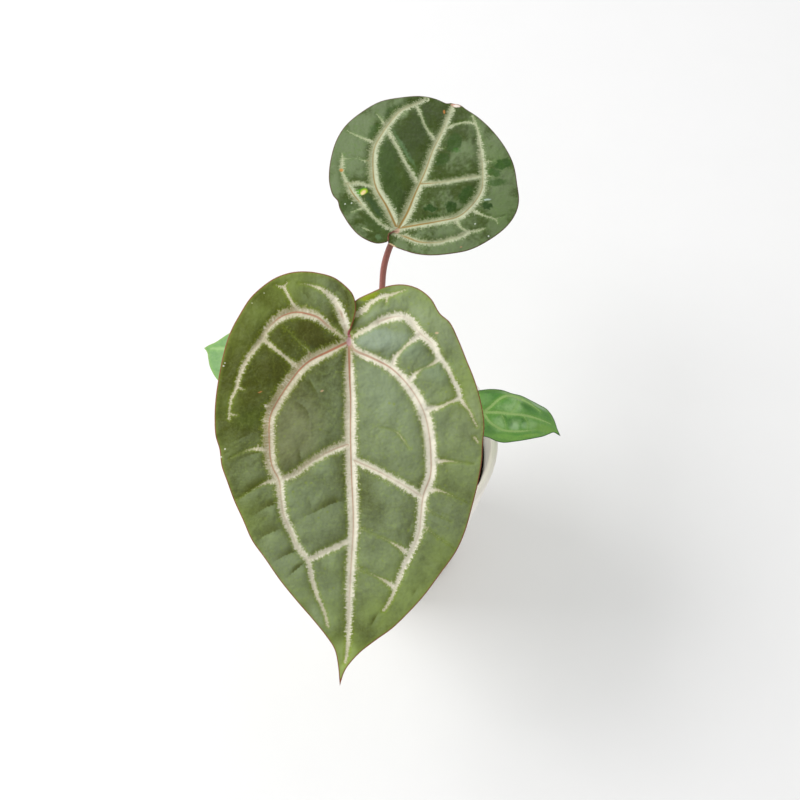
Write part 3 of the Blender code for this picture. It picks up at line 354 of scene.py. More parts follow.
# The small blade at the left, whose tip looks out from behind the large one
LEFT_LEAF = Blade(
    name="left", base=(-31.3, 13, 149.1), seat=(-1.2, 0.2), faces=(-0.26, -0.12, 0.958),
    stalk_radii=(1.7, 1.4, 1.3, 1.25, 1.5, 1.35), half_width=24, thickness=0.65, rib=0.6, puff=0.8,
    groove=0.5, rise=0.14, arch=0.005, bulge=1.6,
    left_edge=[
        (0.6, 0.5), (3.4, 2.2), (7.6, 4.2), (9.4, 8.4), (5.6, 14.4), (-3, 19.2), (-13, 22.6), (-25, 23.6),
        (-35.5, 21.2), (-43.9, 17.3), (-47.9, 14.7), (-51, 12.7), (-54, 11.4), (-56.4, 9.9),
    ],
    right_edge=[
        (-56.4, 9.9), (-54.9, 7.8), (-54.4, 5), (-53.7, 1.2), (-52.3, -2), (-50.3, -5.2), (-46.2, -9.6),
        (-39.5, -14.4), (-30.5, -17.8), (-20.5, -18.8), (-10.5, -17.2), (-2, -13.6), (4.8, -9.4),
        (7.4, -5.2), (4.6, -2), (0.8, -0.5),
    ],
    veins=[
        ([(-0.5, 0.1), (-14, 3.6), (-30, 7.6), (-39, 9.2), (-46, 9.7), (-53, 9.7)], (2.6, 2.6, 2.2, 1.2)),
        ([(-0.5, 1), (-7, 7), (-14, 12.6), (-24, 16.6), (-34, 16.6), (-43, 13.6)], (2.2, 2.2, 1.6, 0.8)),
        ([(-0.7, -0.8), (-8, -5), (-16, -9.4), (-26, -10.6), (-36, -7.6), (-45, -1.6)],
         (2.2, 2.2, 1.6, 0.8)),
        ([(0.4, 1.6), (2.6, 7), (0, 13)], (1.6, 0.8)),
        ([(0.2, -1.4), (1.6, -6), (-3, -11)], (1.6, 0.8)),
        ([(-16, 4.2), (-20, 10), (-22, 16)], (1.2, 1.2)),
        ([(-27, 7), (-33, 12), (-35, 16.4)], (1, 1)),
        ([(-13, 3.4), (-18, -3), (-20, -10)], (1.2, 1.2)),
        ([(-27, 6.8), (-32, 1), (-33, -8.6)], (1, 1)),
    ],
    stalk=[
        (-4.8, 2.2, FOOT_HEIGHT), (-7.4, 3.4, 108), (-15.5, 7.2, 123), (-24.5, 10.8, 136),
        (-29.2, 12.4, 143),
    ],
    swells=[((-25, 24), 10, -1.2), ((-30, -18), 10, -1)],
)


@dataclass
class Look:
    """The finish of a blade. Patches are (right, up, reach, strength): paler, fresher, or with a fainter
    line on their veins; the pale ones are partly the leaf's own grey-green and partly painted sheen. Marks
    are (right, up, half length, half width, turn, colour), and among them is a painted glint. Stains are the
    same with a strength: they lie under the veins and have uneven edges, and besides real stains some are
    painted sheen, highlights, reflection and shade. A crease is its course, its width and its depth along it,
    and it is painted darker on one side and lighter on the other."""

    deep: str
    pale: str
    fringe: str
    band: str
    tan: str
    line: str
    thin: str
    margin: str
    under: str
    under_shade: str
    under_vein: str
    fresh: str
    roughness: float
    gloss: float
    teeth: float
    patchy: float
    clear: tuple
    line_reach: float
    pucker: float
    step: float
    stray: float = 1.0
    shaded: float = 0.0
    shaded_base: float = 0.0
    painted_lee_shade: float = 0.42
    halo: float = 1.0
    right_wall_shade: float = 0.8
    low_wall_shade: float = 1.0
    rim: float = 0.4
    shag: float = 0.4
    patches: list = field(default_factory=list)
    fresh_patches: list = field(default_factory=list)
    stains: list = field(default_factory=list)
    marks_and_glints: list = field(default_factory=list)
    creases: list = field(default_factory=list)
    faint: list = field(default_factory=list)


LOOKS = {
    "main": Look(
        deep="#43480d", pale="#86946f", fringe="#84943a", band="#efead8", tan="#a0966c", line="#b07a60",
        thin="#cfc9a6", margin="#8c4a3a", under="#9fb27c", under_shade="#7f9460", under_vein="#c9c49c",
        fresh="#8ea256", roughness=0.5, gloss=0.12, teeth=1.7, patchy=0.35, clear=(0, 1), line_reach=110,
        pucker=0.45, step=0.65, shaded=0.55, shaded_base=0.55, painted_lee_shade=0.3, right_wall_shade=0.08, shag=1, low_wall_shade=0.35,
        # Paler grey-green patches: partly the leaf's own tone, partly painted sheen
        patches=[
            (26, -34, 44, 0.92), (31, 15, 26, 0.98), (14, -100, 34, 0.72), (-18, -78, 26, 0.8),
            (-20, -42, 20, 0.65), (-12, 20, 12, 0.55), (-40, -62, 24, 0.46), (-28, -102, 24, 0.9),
            (-20, -22, 10, 0.3), (-8, -114, 20, 0.78), (38, -80, 26, 0.74), (-7, -99, 10, 0.9),
            (53, -13, 15, 0.95), (45, -1, 9, 0.8), (20, -82, 12, 0.72), (-13, -57, 10, 0.85),
            (20, -67, 14, 0.85), (54, -55, 20, 0.8), (-27, -71, 13, 0.85), (-11, -124, 10, 0.95),
            (-24, -114, 10, 0.85), (14, 10, 8, 1),
        ],
        fresh_patches=[
            (57, -20, 18, 0.6), (42, 22, 20, 0.5), (52, -60, 20, 0.35), (-4, -148, 18, 0.9),
            (-50, -84, 22, 0.4), (-58, -12, 14, 0.14), (-58, -50, 12, 0.3), (-26, 27, 16, 0.5),
            (-41, 11, 8, 0.45), (30, -116, 24, 0.55), (-7, -124, 12, 0.45), (42, -96, 12, 0.5),
            (14, -124, 12, 0.6), (0, -106, 14, 0.35), (-48, 0, 14, 0.22), (-54, -30, 10, 0.3),
            (12, 22, 10, 0.5), (-28, -118, 18, 0.35),
        ],
        # Among these, the grey-blue ones right of the midrib are painted sheen, the two pale ones near the
        # right margin painted light, and the dark one at (4.2, 10) by the notch painted shade
        stains=[
            (14, 9, 8, 5, 0.4, "#9aa888", 0.5), (29, 9.5, 9, 5, -0.1, "#98a682", 0.45),
            (44, 5, 9, 5, -0.9, "#98a682", 0.4), (-29.7, -15.3, 9, 5.5, -0.7, "#454814", 0.6),
            (-17, 2, 8, 5, -0.6, "#444514", 0.8), (29, -4, 7, 5, 0.5, "#8a9c80", 0.5),
            (39.5, -14, 7, 5, -0.6, "#8a9c80", 0.5), (-8, -1.4, 5, 2.6, 0.3, "#424216", 0.8),
            (-52, 4, 12, 6, 1.1, "#6c7830", 0.4), (-36, 17, 9, 5, 0.8, "#64702a", 0.35),
            (11.5, -0.4, 9, 5, 0.2, "#9aaa94", 0.8), (22, -2.5, 7, 5, 0.6, "#98a890", 0.6),
            (13, -20, 16, 9, -1.1, "#8b9a7c", 0.5), (4.2, 10, 6, 1.4, 1.25, "#3a4a18", 0.8),
            (-24, -42, 17, 10, 1.4, "#7b7b56", 0.5), (-43, -36, 9, 4, 0.3, "#4c5c1c", 0.5),
            (-3, -145, 9, 6, 1.5, "#a2b56e", 0.7), (55, -4, 9, 4, -1.2, "#a3b188", 0.55),
            (56.5, -32, 12, 4, 1.5, "#a0b080", 0.5), (-13, -125, 7, 3.6, -1.1, "#a0b184", 0.5),
            (20, 20.5, 8, 2.4, 0.15, "#9aac70", 0.4),
        ],
        marks_and_glints=[
            (39.6, 2.4, 0.8, 0.5, 0, "#c4b08a"), (-12.1, -23.7, 0.8, 0.4, 0.4, "#b89b78"),
            (-40, -24.2, 1, 0.28, 0.35, "#a8723f"), (-55.8, -11.1, 0.36, 0.3, 0, "#d8d8c8"),
            (-56.4, -12.4, 0.4, 0.3, 0, "#e8e6da"), (-43.6, 15.9, 0.34, 0.28, 0, "#b4ba92"),
            (-38.2, 20.4, 0.34, 0.26, 0.3, "#b4ba92"), (-55.8, -49.8, 0.4, 0.35, 0, "#d4d6c0"),
            (-57.6, -53.4, 0.4, 0.35, 0, "#d4d6c0"), (10.6, 18.8, 3.6, 1.2, 0.5, "#8c9c20"),
            (0.2, 2, 0.9, 1.9, 0, "#9c4650"), (0, -1.4, 1.1, 2, 0, "#c9a2a6"),
        ],
        creases=[
            ([(-53, -75.6), (-50, -73), (-43, -68), (-33.5, -63.5)], 4.2, (0, 0.6, 1, 1, 0)),
            ([(-47.5, -83.5), (-43, -80), (-38, -76.6), (-30, -73.5)], 3.6, (0, 0.3, 0.6, 1.1, 0)),
            ([(-43, -92.5), (-37, -88.5), (-28, -84.8)], 4.4, (0, 0.7, 0.8, 0)),
            ([(-36.5, -102.5), (-30, -98.6), (-20.5, -94.5)], 3.8, (0, 0.6, 0.9, 0)),
            ([(-29.5, -109.5), (-25, -105.4), (-19, -100.4)], 2, (0, 0.5, 1.5, 0)),
            ([(-24.5, -83.6), (-20.3, -80.7), (-13.8, -77.7), (-8.8, -75.2), (-1, -72.6)], 4.4,
             (0, 0.4, 0.6, 0.9, 0.9, 0)),
            ([(-17, -77), (-17.6, -70.5)], 2.4, (0, 0.35, 0)),
            ([(-13, -28), (-15.4, -22.5), (-19.8, -16)], 3.2, (0, 0.5, 0.7, 0)),
            ([(-18, -42), (-18.4, -33), (-23, -28.6), (-27, -26.4)], 3.2, (0, 0.45, 0.6, 0)),
            ([(-21.4, -57.4), (-22.4, -48)], 2, (0, 0.8, 0)),
            ([(-14.4, -58), (-16.6, -50)], 2.2, (0, 0.8, 0)),
            ([(-56, -57), (-47, -53.4), (-34.5, -49.4)], 2.6, (0, 0.3, 0.8, 0)),
            ([(-54, -48), (-46, -43.6), (-37, -40)], 2.6, (0, 0.5, 0.3, 0)),
            ([(-24, 24), (-19.4, 19), (-17, 13.6)], 2.6, (0, 0.6, 0)),
            ([(9, -131.4), (14.4, -122)], 1.8, (0, 1, 0)),
            ([(27.6, -118.4), (32, -110)], 2.4, (0, 0.6, 0)),
            ([(44, -86), (34, -80)], 2.6, (0, 0.4, 0)),
            ([(24, -92), (28, -84), (29.6, -76)], 2.4, (0, 0.5, 0)),
        ],
        faint=[
            (28, 8, 9, 0.85), (38, -6, 12, 0.85), (47, -22, 12, 0.85), (-1.6, 7, 4.6, 0.95),
            (-5, 15.5, 5.5, 0.9),
        ],
    ),
    "top": Look(
        deep="#3b4a17", pale="#6d7d57", fringe="#5f7a3e", band="#c6cbac", tan="#989d72", line="#9c824a",
        thin="#aab48a", margin="#5e3f33", under="#8fa873", under_shade="#6f8c58", under_vein="#bcc392",
        fresh="#5c7a34", roughness=0.4, gloss=0.15, teeth=2.3, patchy=0.9, clear=(0.25, 0.6), line_reach=60,
        pucker=0.2, step=0.6, stray=4.6, halo=0.5, rim=0.15, shag=0.3,
        # Pale grey patches: partly the leaf's own tone, partly painted sheen
        patches=[
            (-26, 38, 14, 0.95), (-8, 57, 12, 0.6), (32, 38, 14, 0.52), (24, 12, 16, 0.45),
            (-29, 22, 7, 0.75), (-17, 50, 8, 0.9), (49, 1, 8, 0.75), (1, -8, 5, 0.8), (0, 60, 7, 0.75),
            (48, 40, 14, 0.65), (50, 12, 12, 0.7), (38, 50, 10, 0.5), (26, -8, 20, 0.7), (51, 23, 12, 0.7),
            (-22, 8, 8, 0.5), (-18, 30, 8, 0.6), (-20, -2, 10, 0.45), (10, -8, 10, 0.5),
        ],
        fresh_patches=[(8, 28, 10, 0.3), (-6, 4, 8, 0.3), (50, 34, 10, 0.4), (52, 8, 12, 0.4)],
        # The thin grey-green streak at (3.4, 39) is a painted highlight, and the dark blotches are partly the
        # leaf's own colour and partly painted reflection
        stains=[
            (-4.7, 36.8, 14, 5, 1.35, "#405429", 0.8), (8, 47, 12, 5.5, 1.15, "#3e4c26", 0.8),
            (-2, 18.5, 13, 4.5, 1.75, "#3b4f20", 0.8), (3.4, 39, 9, 0.9, -1.05, "#6a8a60", 0.5),
            (-2.5, 57.6, 4.5, 2.6, 0.6, "#2f4a10", 0.7), (-10.8, 48.2, 4.5, 2.4, 0.8, "#37551a", 0.7),
            (27.2, 42.3, 4.6, 3.4, 1.2, "#2f4a14", 0.85), (28.3, 38.6, 1.8, 1.1, 0, "#3c6a22", 0.6),
            (21.3, 34.3, 4, 2.8, 0.5, "#2e4812", 0.85), (50.9, 32.1, 4.6, 2.6, 0.3, "#2f5214", 0.9),
            (45.5, 28, 4.6, 1.8, -0.2, "#35561a", 0.8), (47.7, 23, 5, 1.6, 0.1, "#33541a", 0.7),
            (43.4, 11.9, 2.8, 2, 0, "#22400c", 0.9), (15.9, 10.6, 3.2, 1.7, 0, "#22420a", 0.9),
            (25.6, 11.3, 2.7, 2.8, 0, "#23400a", 0.9), (33.7, 16.9, 5, 3.6, 0.8, "#294610", 0.9),
            (17.5, 6.4, 3.6, 0.9, 0.1, "#24440a", 0.8), (-10.6, 11.3, 7, 2, -0.85, "#35502e", 0.65),
            (-17.5, 18.5, 3.4, 1.6, 0.1, "#4c9418", 0.95), (-24.5, 12.5, 4, 3, 0.9, "#44582c", 0.7),
            (-12, 3.5, 6, 3, -0.6, "#3f5424", 0.6), (-9.2, -3.3, 1.3, 1.3, 0, "#6f8f64", 0.5),
        ],
        # The streak at (43.4, 14.8) is a painted glint
        marks_and_glints=[
            (-27.4, 29.1, 0.9, 0.8, 0, "#c98a3c"), (22.4, 57.3, 0.5, 0.9, 0.2, "#c9803c"),
            (-16.6, 18.6, 1.9, 1.3, 0.5, "#b6c430"), (-16.8, 18.2, 1.4, 0.8, 0.7, "#ecd0a0"),
            (-25.7, 12.7, 0.4, 0.35, 0, "#cfd8c8"), (-22.5, 13.1, 0.4, 0.35, 0, "#cfd8c8"),
            (43.9, -2.9, 0.45, 0.4, 0, "#dfe8dc"), (37.4, 3, 0.4, 0.35, 0, "#cfd8c8"),
            (43.4, 14.8, 1.8, 0.4, 0.05, "#b4c8bc"), (30.6, -8.2, 0.6, 0.3, 0.2, "#b98f6c"),
            (28, 60.6, 2.4, 1, -0.1, "#cf9a88"), (28.4, 60.2, 1.7, 0.7, -0.1, "#f0e8dc"),
            (-0.4, -0.4, 1.5, 1.1, 0.6, "#c9a68e"), (-2.6, -7.3, 1.9, 0.35, -0.5, "#e8c9a0"),
            (-4.5, -3.8, 2.2, 0.5, 1.5, "#b4705c"), (-2.8, -1.2, 1.6, 0.45, 0.6, "#b0746a"),
        ],
    ),
    "right": Look(
        deep="#5f9440", pale="#94bc78", fringe="#7cac46", band="#a8c87a", tan="#98b86c", line="#aac67c",
        thin="#94b868", margin="#2c5a1e", under="#8fb070", under_shade="#6f9a50", under_vein="#b5c68c",
        fresh="#6c9e46", roughness=0.32, gloss=0.4, teeth=0.6, patchy=0.7, clear=(0.2, 0.8), line_reach=40,
        pucker=0.12, step=0.5, painted_lee_shade=0.2, halo=0,
        # Pale spots between the veins: painted highlights and sheen
        patches=[
            (8, -6, 5, 0.7), (15.5, -6, 4, 0.7), (24, -6.5, 3.6, 0.7), (15, 3, 6, 0.9), (8, 2.5, 4, 0.5),
        ],
        # The pale grey and pale green streaks and spots among these are painted sheen and highlights
        stains=[
            (4, 10.6, 7.5, 1, 0.05, "#467238", 0.7), (12, 10, 6, 0.9, -0.1, "#86a07a", 0.6),
            (18.6, 7.2, 11, 1.5, -0.38, "#9aaa90", 0.75), (23, 2.8, 4.6, 1.4, -0.5, "#4a7a34", 0.6),
            (32, -1.6, 4.4, 1.6, -0.85, "#4e8238", 0.6), (4, 10.8, 8, 0.7, 0, "#3c6a30", 0.7),
            (16, 10.6, 7, 0.6, -0.22, "#8aa27e", 0.6), (30, -8, 6, 2, -0.3, "#84b048", 0.6),
            (11, -3.6, 1.2, 2.6, 0.2, "#356e24", 0.6), (20.5, -4.8, 1.2, 2.4, 0.3, "#356e24", 0.6),
            (20, -12, 12, 1.6, -0.05, "#4f9030", 0.6), (5, 8, 6, 2.6, 0.3, "#4c8034", 0.5),
            (7.5, 7.7, 5, 1.8, -0.1, "#478632", 0.5), (24.5, 1.4, 3.6, 2.2, -0.6, "#478032", 0.6),
            (17, -2.4, 3, 1.2, -0.2, "#4a8836", 0.5), (15.6, -7.4, 2.2, 2.2, 0, "#a6ca94", 0.7),
            (21, -6.6, 1.8, 1.6, 0, "#9cc488", 0.6), (25.6, -6.2, 1.8, 1.4, 0, "#94bc7c", 0.5),
            (27, 4.4, 6, 1.3, -0.62, "#b2c6b0", 0.7), (12, -12.4, 8, 1.5, -0.12, "#84b450", 0.6),
            (2, -2, 3, 3.4, 0, "#5c9838", 0.5), (8, 5.2, 4, 1.5, 0.7, "#6aa046", 0.5),
            (1, 6.4, 3.4, 2.4, 0.4, "#86b468", 0.5), (22, 3.6, 3, 2, -0.5, "#3f7424", 0.6),
            (13.6, -5.4, 1.3, 2.2, 0.1, "#3c7426", 0.6), (3.4, -8.6, 3, 2.2, -0.6, "#477c2e", 0.5),
            (23.4, -11.6, 5, 0.8, 0.1, "#94bc4c", 0.5), (13, 5.4, 2.4, 1.4, 0, "#569838", 0.5),
        ],
    ),
    "left": Look(
        deep="#64944f", pale="#94b481", fringe="#90bc66", band="#a2c484", tan="#92b674", line="#9fc082",
        thin="#92b674", margin="#8cb050", under="#a4c088", under_shade="#86aa64", under_vein="#c2d4a0",
        fresh="#90bc66", roughness=0.38, gloss=0.3, teeth=0.6, patchy=0.4, clear=(0, 1), line_reach=60,
        pucker=0.1, step=0.6, painted_lee_shade=0.2, halo=0,
        patches=[(-40, 4, 16, 0.6)],
    ),
}


class Value:
    """What a node puts out. Its sums, differences and products are math nodes of the same material."""

    def __init__(self, shade, socket):
        self.shade = shade
        self.socket = socket

    def __add__(self, other):
        return self.shade.math("ADD", self, other)

    def __sub__(self, other):
        return self.shade.math("SUBTRACT", self, other)

    def __rsub__(self, other):
        return self.shade.math("SUBTRACT", other, self)

    def __mul__(self, other):
        return self.shade.math("MULTIPLY", self, other)

    def __abs__(self):
        return self.shade.math("ABSOLUTE", self)


class Shade:
    """Builds one material. Most methods add a node and return what it puts out."""

    def __init__(self, name):
        self.material = bpy.data.materials.new(name)
        self.material.use_nodes = True
        self.tree = self.material.node_tree
        self.shader = self.tree.nodes["Principled BSDF"]

    def feed(self, node, feeds):
        """Links a node's inputs to outputs, or sets them to plain values or to colours by their codes."""
        for key, value in feeds.items():
            if isinstance(value, Value):
                self.tree.links.new(value.socket, node.inputs[key])
            else:
                node.inputs[key].default_value = tone(value) if isinstance(value, str) else value

    def node(self, kind, feeds, output=0, **settings):
        made = self.tree.nodes.new(f"ShaderNode{kind}")
        for name, value in settings.items():
            setattr(made, name, value)
        self.feed(made, feeds)
        return Value(self, made.outputs[output])

    def number(self, name):
        return self.node("Attribute", {}, "Fac", attribute_name=name)

    def place(self, name):
        return self.node("Attribute", {}, "Vector", attribute_name=name)

    def object_place(self):
        return self.node("TexCoord", {}, "Object")

    def math(self, operation, first, second=0.0):
        return self.node("Math", {0: first, 1: second}, operation=operation)

    def vector_math(self, operation, *vectors, output=0):
        return self.node("VectorMath", dict(enumerate(vectors)), output, operation=operation)

    def length(self, vector):
        return self.vector_math("LENGTH", vector, output="Value")

    def join(self, x, y, z=0.0):
        return self.node("CombineXYZ", {0: x, 1: y, 2: z})

    def split(self, vector):
        parts = self.node("SeparateXYZ", {0: vector}).socket.node.outputs
        return [Value(self, part) for part in parts]

    def ease(self, value, start, end, low=0.0, high=1.0):
        """A smooth step from low to high as the value goes from start to end."""
        feeds = {"Value": value, "From Min": start, "From Max": end, "To Min": low, "To Max": high}
        return self.node("MapRange", feeds, "Result", interpolation_type="SMOOTHSTEP")

    def mix(self, share, first, second):
        """Two colours mixed. The node's inputs 6 and 7 and its output 2 are the ones for colours."""
        return self.node("Mix", {0: share, 6: first, 7: second}, 2, data_type="RGBA")

    def layered(self, colour, *layers):
        """A colour with others laid over it in turn, each given as how much of it shows and its colour."""
        for share, over in layers:
            colour = self.mix(share, colour, over)
        return colour

    def vivid(self, share, colour, saturation):
        return self.node("HueSaturation", {"Fac": share, "Color": colour, "Saturation": saturation})

    def noise(self, vector, scale, detail, roughness, output="Fac"):
        feeds = {"Vector": vector, "Scale": scale, "Detail": detail, "Roughness": roughness}
        return self.node("TexNoise", feeds, output)

    def streaks(self, factors, detail, roughness):
        """Noise over the object, drawn out along the axes with small factors."""
        return self.noise(self.vector_math("MULTIPLY", self.object_place(), factors), 1, detail, roughness)

    def cells(self, vector, scale, feature="DISTANCE_TO_EDGE"):
        return self.node("TexVoronoi", {"Vector": vector, "Scale": scale}, "Distance", feature=feature)

    def strayed(self, vector, scale, reach):
        """A place that wanders by up to half of reach either way."""
        drift = self.noise(vector, scale, 4, 0.6, "Color")
        step = self.vector_math("MULTIPLY_ADD", drift, (reach, reach, 0), (-reach / 2, -reach / 2, 0))
        return self.vector_math("ADD", vector, step)

    def spot(self, vector, right, up, half_length, half_width, turn, softness=0.3):
        """1 inside an ellipse and 0 outside it, with a soft edge."""
        feeds = {"Vector": vector, "Location": (right, up, 0), "Rotation": (0, 0, turn)}
        feeds["Scale"] = (half_length, half_width, 1)
        away = self.length(self.node("Mapping", feeds, vector_type="TEXTURE"))
        return self.ease(away, 1 + softness, 1 - softness)

    def relief(self, *layers, under=None):
        """Bumps laid over each other, each given as its height from 0 to 1 and its depth in millimetres."""
        for height, depth in layers:
            feeds = {"Height": height, "Distance": depth * MM}
            if under is not None:
                feeds["Normal"] = under
            under = self.node("Bump", feeds)
        return under

    def finish(self, colour, roughness, relief=None, gloss=0.5):
        self.feed(self.shader, {"Base Color": colour, "Roughness": roughness, "Specular IOR Level": gloss})
        if relief is not None:
            self.feed(self.shader, {"Normal": relief})
        return self.material


def tone(code):
    """A colour from its sRGB code, in linear light."""
    parts = [int(code[start : start + 2], 16) / 255 for start in (1, 3, 5)]
    light = [part / 12.92 if part <= 0.04045 else ((part + 0.055) / 1.055) ** 2.4 for part in parts]
    return (*light, 1.0)


def unit(vector):
    return np.asarray(vector, float) / np.linalg.norm(vector)


def along_course(shares, values):
    """Values spaced evenly along a course, read at shares of its length."""
    return np.interp(shares, np.linspace(0.0, 1.0, len(values)), values)


def soft_hill(distance, reach):
    """1 at no distance, falling off as a bell curve."""
    return np.exp(-((distance / reach) ** 2))


def smooth_course(points, spacing):
    """Points about spacing apart on a centripetal Catmull-Rom curve through the given ones."""
    given = np.array(points, float)
    given = np.vstack([2 * given[0] - given[1], given, 2 * given[-1] - given[-2]])
    knots = np.concatenate([[0.0], np.cumsum(np.sqrt(np.linalg.norm(np.diff(given, axis=0), axis=1)))])
    dense = [given[1]]
    for start in range(len(given) - 3):
        p0, p1, p2, p3 = given[start : start + 4]
        t0, t1, t2, t3 = knots[start : start + 4]
        for t in np.linspace(t1, t2, CURVE_STEPS + 1)[1:]:
            a1 = (p0 * (t1 - t) + p1 * (t - t0)) / (t1 - t0)
            a2 = (p1 * (t2 - t) + p2 * (t - t1)) / (t2 - t1)
            a3 = (p2 * (t3 - t) + p3 * (t - t2)) / (t3 - t2)
            b1 = (a1 * (t2 - t) + a2 * (t - t0)) / (t2 - t0)
            b2 = (a2 * (t3 - t) + a3 * (t - t1)) / (t3 - t1)
            dense.append((b1 * (t2 - t) + b2 * (t - t1)) / (t2 - t1))
    dense = np.array(dense)
    travelled = np.concatenate([[0.0], np.cumsum(np.linalg.norm(np.diff(dense, axis=0), axis=1))])
    steps = max(2, round(travelled[-1] / spacing))
    wanted = np.linspace(0.0, travelled[-1], steps + 1)
    return np.column_stack([np.interp(wanted, travelled, axis) for axis in dense.T])


def plane_axes(blade):
    """Unit vectors across, along and out of the blade's plane."""
    out = unit(blade.faces)
    across = unit(RIGHTWARD - out * (RIGHTWARD @ out))
    return across, np.cross(out, across), out


def onto_plane(drawn, blade):
    """Drawn points carried along their sight lines to the blade's plane, as (across, along) from its base."""
    across, along, out = plane_axes(blade)
    base = np.array(blade.base)
    drawn = np.asarray(drawn, float)
    rays = base + drawn[:, :1] * RIGHTWARD + drawn[:, 1:] * UPWARD - EYE
    reached = EYE + rays * (((base - EYE) @ out) / (rays @ out))[:, None] - base
    return np.column_stack([reached @ across, reached @ along])


def as_drawn(flat, blade):
    """Plane points as they look from the eye: the way back from onto_plane."""
    across, along, _ = plane_axes(blade)
    forward = np.cross(UPWARD, RIGHTWARD)
    base = np.array(blade.base) - EYE
    rays = base + flat[:, :1] * across + flat[:, 1:] * along
    rays = rays * ((base @ forward) / (rays @ forward))[:, None] - base
    return np.column_stack([rays @ RIGHTWARD, rays @ UPWARD])


def raised(flat, heights, drops, blade):
    """Plane points in space: raised along their sight lines by heights, then dropped square to the plane."""
    across, along, out = plane_axes(blade)
    points = np.array(blade.base) + flat[:, :1] * across + flat[:, 1:] * along
    sight = EYE - points
    return points + sight * (heights / (sight @ out))[:, None] - drops[:, None] * out


def nearest_on(course, points):
    """Each point's distance to a course, less than 0 on its right, and how far along it the nearest place
    is, from 0 to 1."""
    step = np.diff(course, axis=0)
    square = (step * step).sum(axis=1)
    offsets = []
    shares = []
    for start in range(0, len(points), CHUNK):
        away = points[start : start + CHUNK, None, :] - course[None, :-1, :]
        share = np.clip((away * step).sum(axis=2) / square, 0.0, 1.0)
        gap = away - share[:, :, None] * step
        distance = np.hypot(gap[:, :, 0], gap[:, :, 1])
        nearest = distance.argmin(axis=1)
        rows = np.arange(len(nearest))
        turn = step[nearest, 0] * away[rows, nearest, 1] - step[nearest, 1] * away[rows, nearest, 0]
        offsets.append(distance[rows, nearest] * np.where(turn < 0, -1.0, 1.0))
        shares.append((nearest + share[rows, nearest]) / len(step))
    return np.concatenate(offsets), np.concatenate(shares)


def nearest_on_drawn(course, blade, points):
    """nearest_on for a course that is drawn, and the course itself on the plane."""
    path = smooth_course(onto_plane(course, blade), VEIN_STEP)
    offset, share = nearest_on(path, points)
    return offset, share, path


@dataclass
class VeinFacts:
    """What the veins are like at each plane point."""

    closeness: np.ndarray
    width: np.ndarray
    edge: np.ndarray
    run: np.ndarray
    across: np.ndarray
    wall: np.ndarray


def vein_facts(flat, blade):
    """How near the nearest vein is and its width, how far inside its edge a point is, where along it, and how
    far over towards its wall that is painted lit, from -1 to 1."""
    facts = VeinFacts(*np.zeros((6, len(flat))))
    facts.edge -= OFF_VEIN
    for order, (course, widths) in enumerate(blade.veins):
        offset, share, path = nearest_on_drawn(course, blade, flat)
        distance = np.abs(offset)
        local = along_course(share, widths)
        near = np.exp(-((distance / (GROOVE_SPREAD * local + GROOVE_BLUR)) ** GROOVE_SHARPNESS))
        near *= np.clip(local / FULL_VEIN, FAINTEST_VEIN, 1.0)
        facts.width = np.where(near > facts.closeness, local, facts.width)
        facts.closeness = np.maximum(facts.closeness, near)
        within = local / 2 - distance
        foot = np.column_stack([along_course(share, axis) for axis in path.T])
        wall = (flat - foot) @ unit(PAINTED_LIT_WALL) / np.maximum(local / 2, SLIMMEST_WALL)
        nearer = within > facts.edge
        facts.wall = np.where(nearer, np.clip(wall, -1.0, 1.0), facts.wall)
        facts.edge = np.where(nearer, within, facts.edge)
        facts.run = np.where(nearer, share * VEIN_STEP * len(path) + RUN_STRIDE * order, facts.run)
        facts.across = np.where(nearer, offset, facts.across)
    return facts


def fold_of_tip(flat, blade):
    """How far the tip hangs below the plane: nothing up to its root, then ever more steeply."""
    root, _, tip = onto_plane(blade.left_edge[-3:], blade)
    forward = unit(tip)
    sideways = np.array([-forward[1], forward[0]])
    beyond = np.clip((flat - root) @ forward, 0.0, None)
    steepening = beyond**2 / (beyond + TIP_ROOT_REACH)
    return blade.tip_fold * steepening * soft_hill((flat - tip) @ sideways, TIP_FOLD_WIDTH)


def tuck_share(flat):
    """How much of the tuck each point of the right lobe takes: all of it on the edge along the notch."""
    beside = flat[:, 0] - NOTCH_START - NOTCH_SLOPE * flat[:, 1]
    rise = np.clip((flat[:, 1] - TUCK_START) / TUCK_RISE, 0.0, 1.0)
    fall = np.clip((TUCK_END - flat[:, 1]) / TUCK_FALL, 0.0, 1.0)
    return (beside > 0) * rise * fall * soft_hill(np.maximum(beside, 0.0), TUCK_REACH)


def lap_share(flat, blade):
    """How much each point by the notch slips under the other lobe: only points left of the lap's course."""
    offset, share, _ = nearest_on_drawn(blade.lap, blade, flat)
    return (offset > 0) * np.clip(share / LAP_START, 0.0, 1.0) * soft_hill(offset, LAP_REACH)


def creases(flat, blade, look):
    """How deep the soft folds between the side veins are at each plane point, and how much painted shade they
    get there: less than 0 where they get painted light instead, which is on their right."""
    depths = np.zeros(len(flat))
    painted_fold_shade = np.zeros(len(flat))
    for course, width, strengths in look.creases:
        offset, share, _ = nearest_on_drawn(course, blade, flat)
        fold = along_course(share, strengths) * soft_hill(offset, width)
        depths += CREASE_DEPTH * fold
        painted_fold_shade += np.where(offset > 0, fold, -CREASE_PAINTED_LIGHT * fold)
    return depths, painted_fold_shade


def ripple(flat):
    """A soft uneven swell: many seeded waves that run all ways over the plane."""
    draw = np.random.default_rng(WAVE_SEED)
    swell = np.zeros(len(flat))
    for _ in range(WAVE_COUNT):
        angle = draw.uniform(0, math.pi)
        length = draw.uniform(*WAVE_LENGTHS)
        shift = draw.uniform(0, 2 * math.pi)
        travel = flat @ np.array([math.cos(angle), math.sin(angle)])
        swell += np.sin(2 * math.pi * travel / length + shift)
    return swell / math.sqrt(WAVE_COUNT)


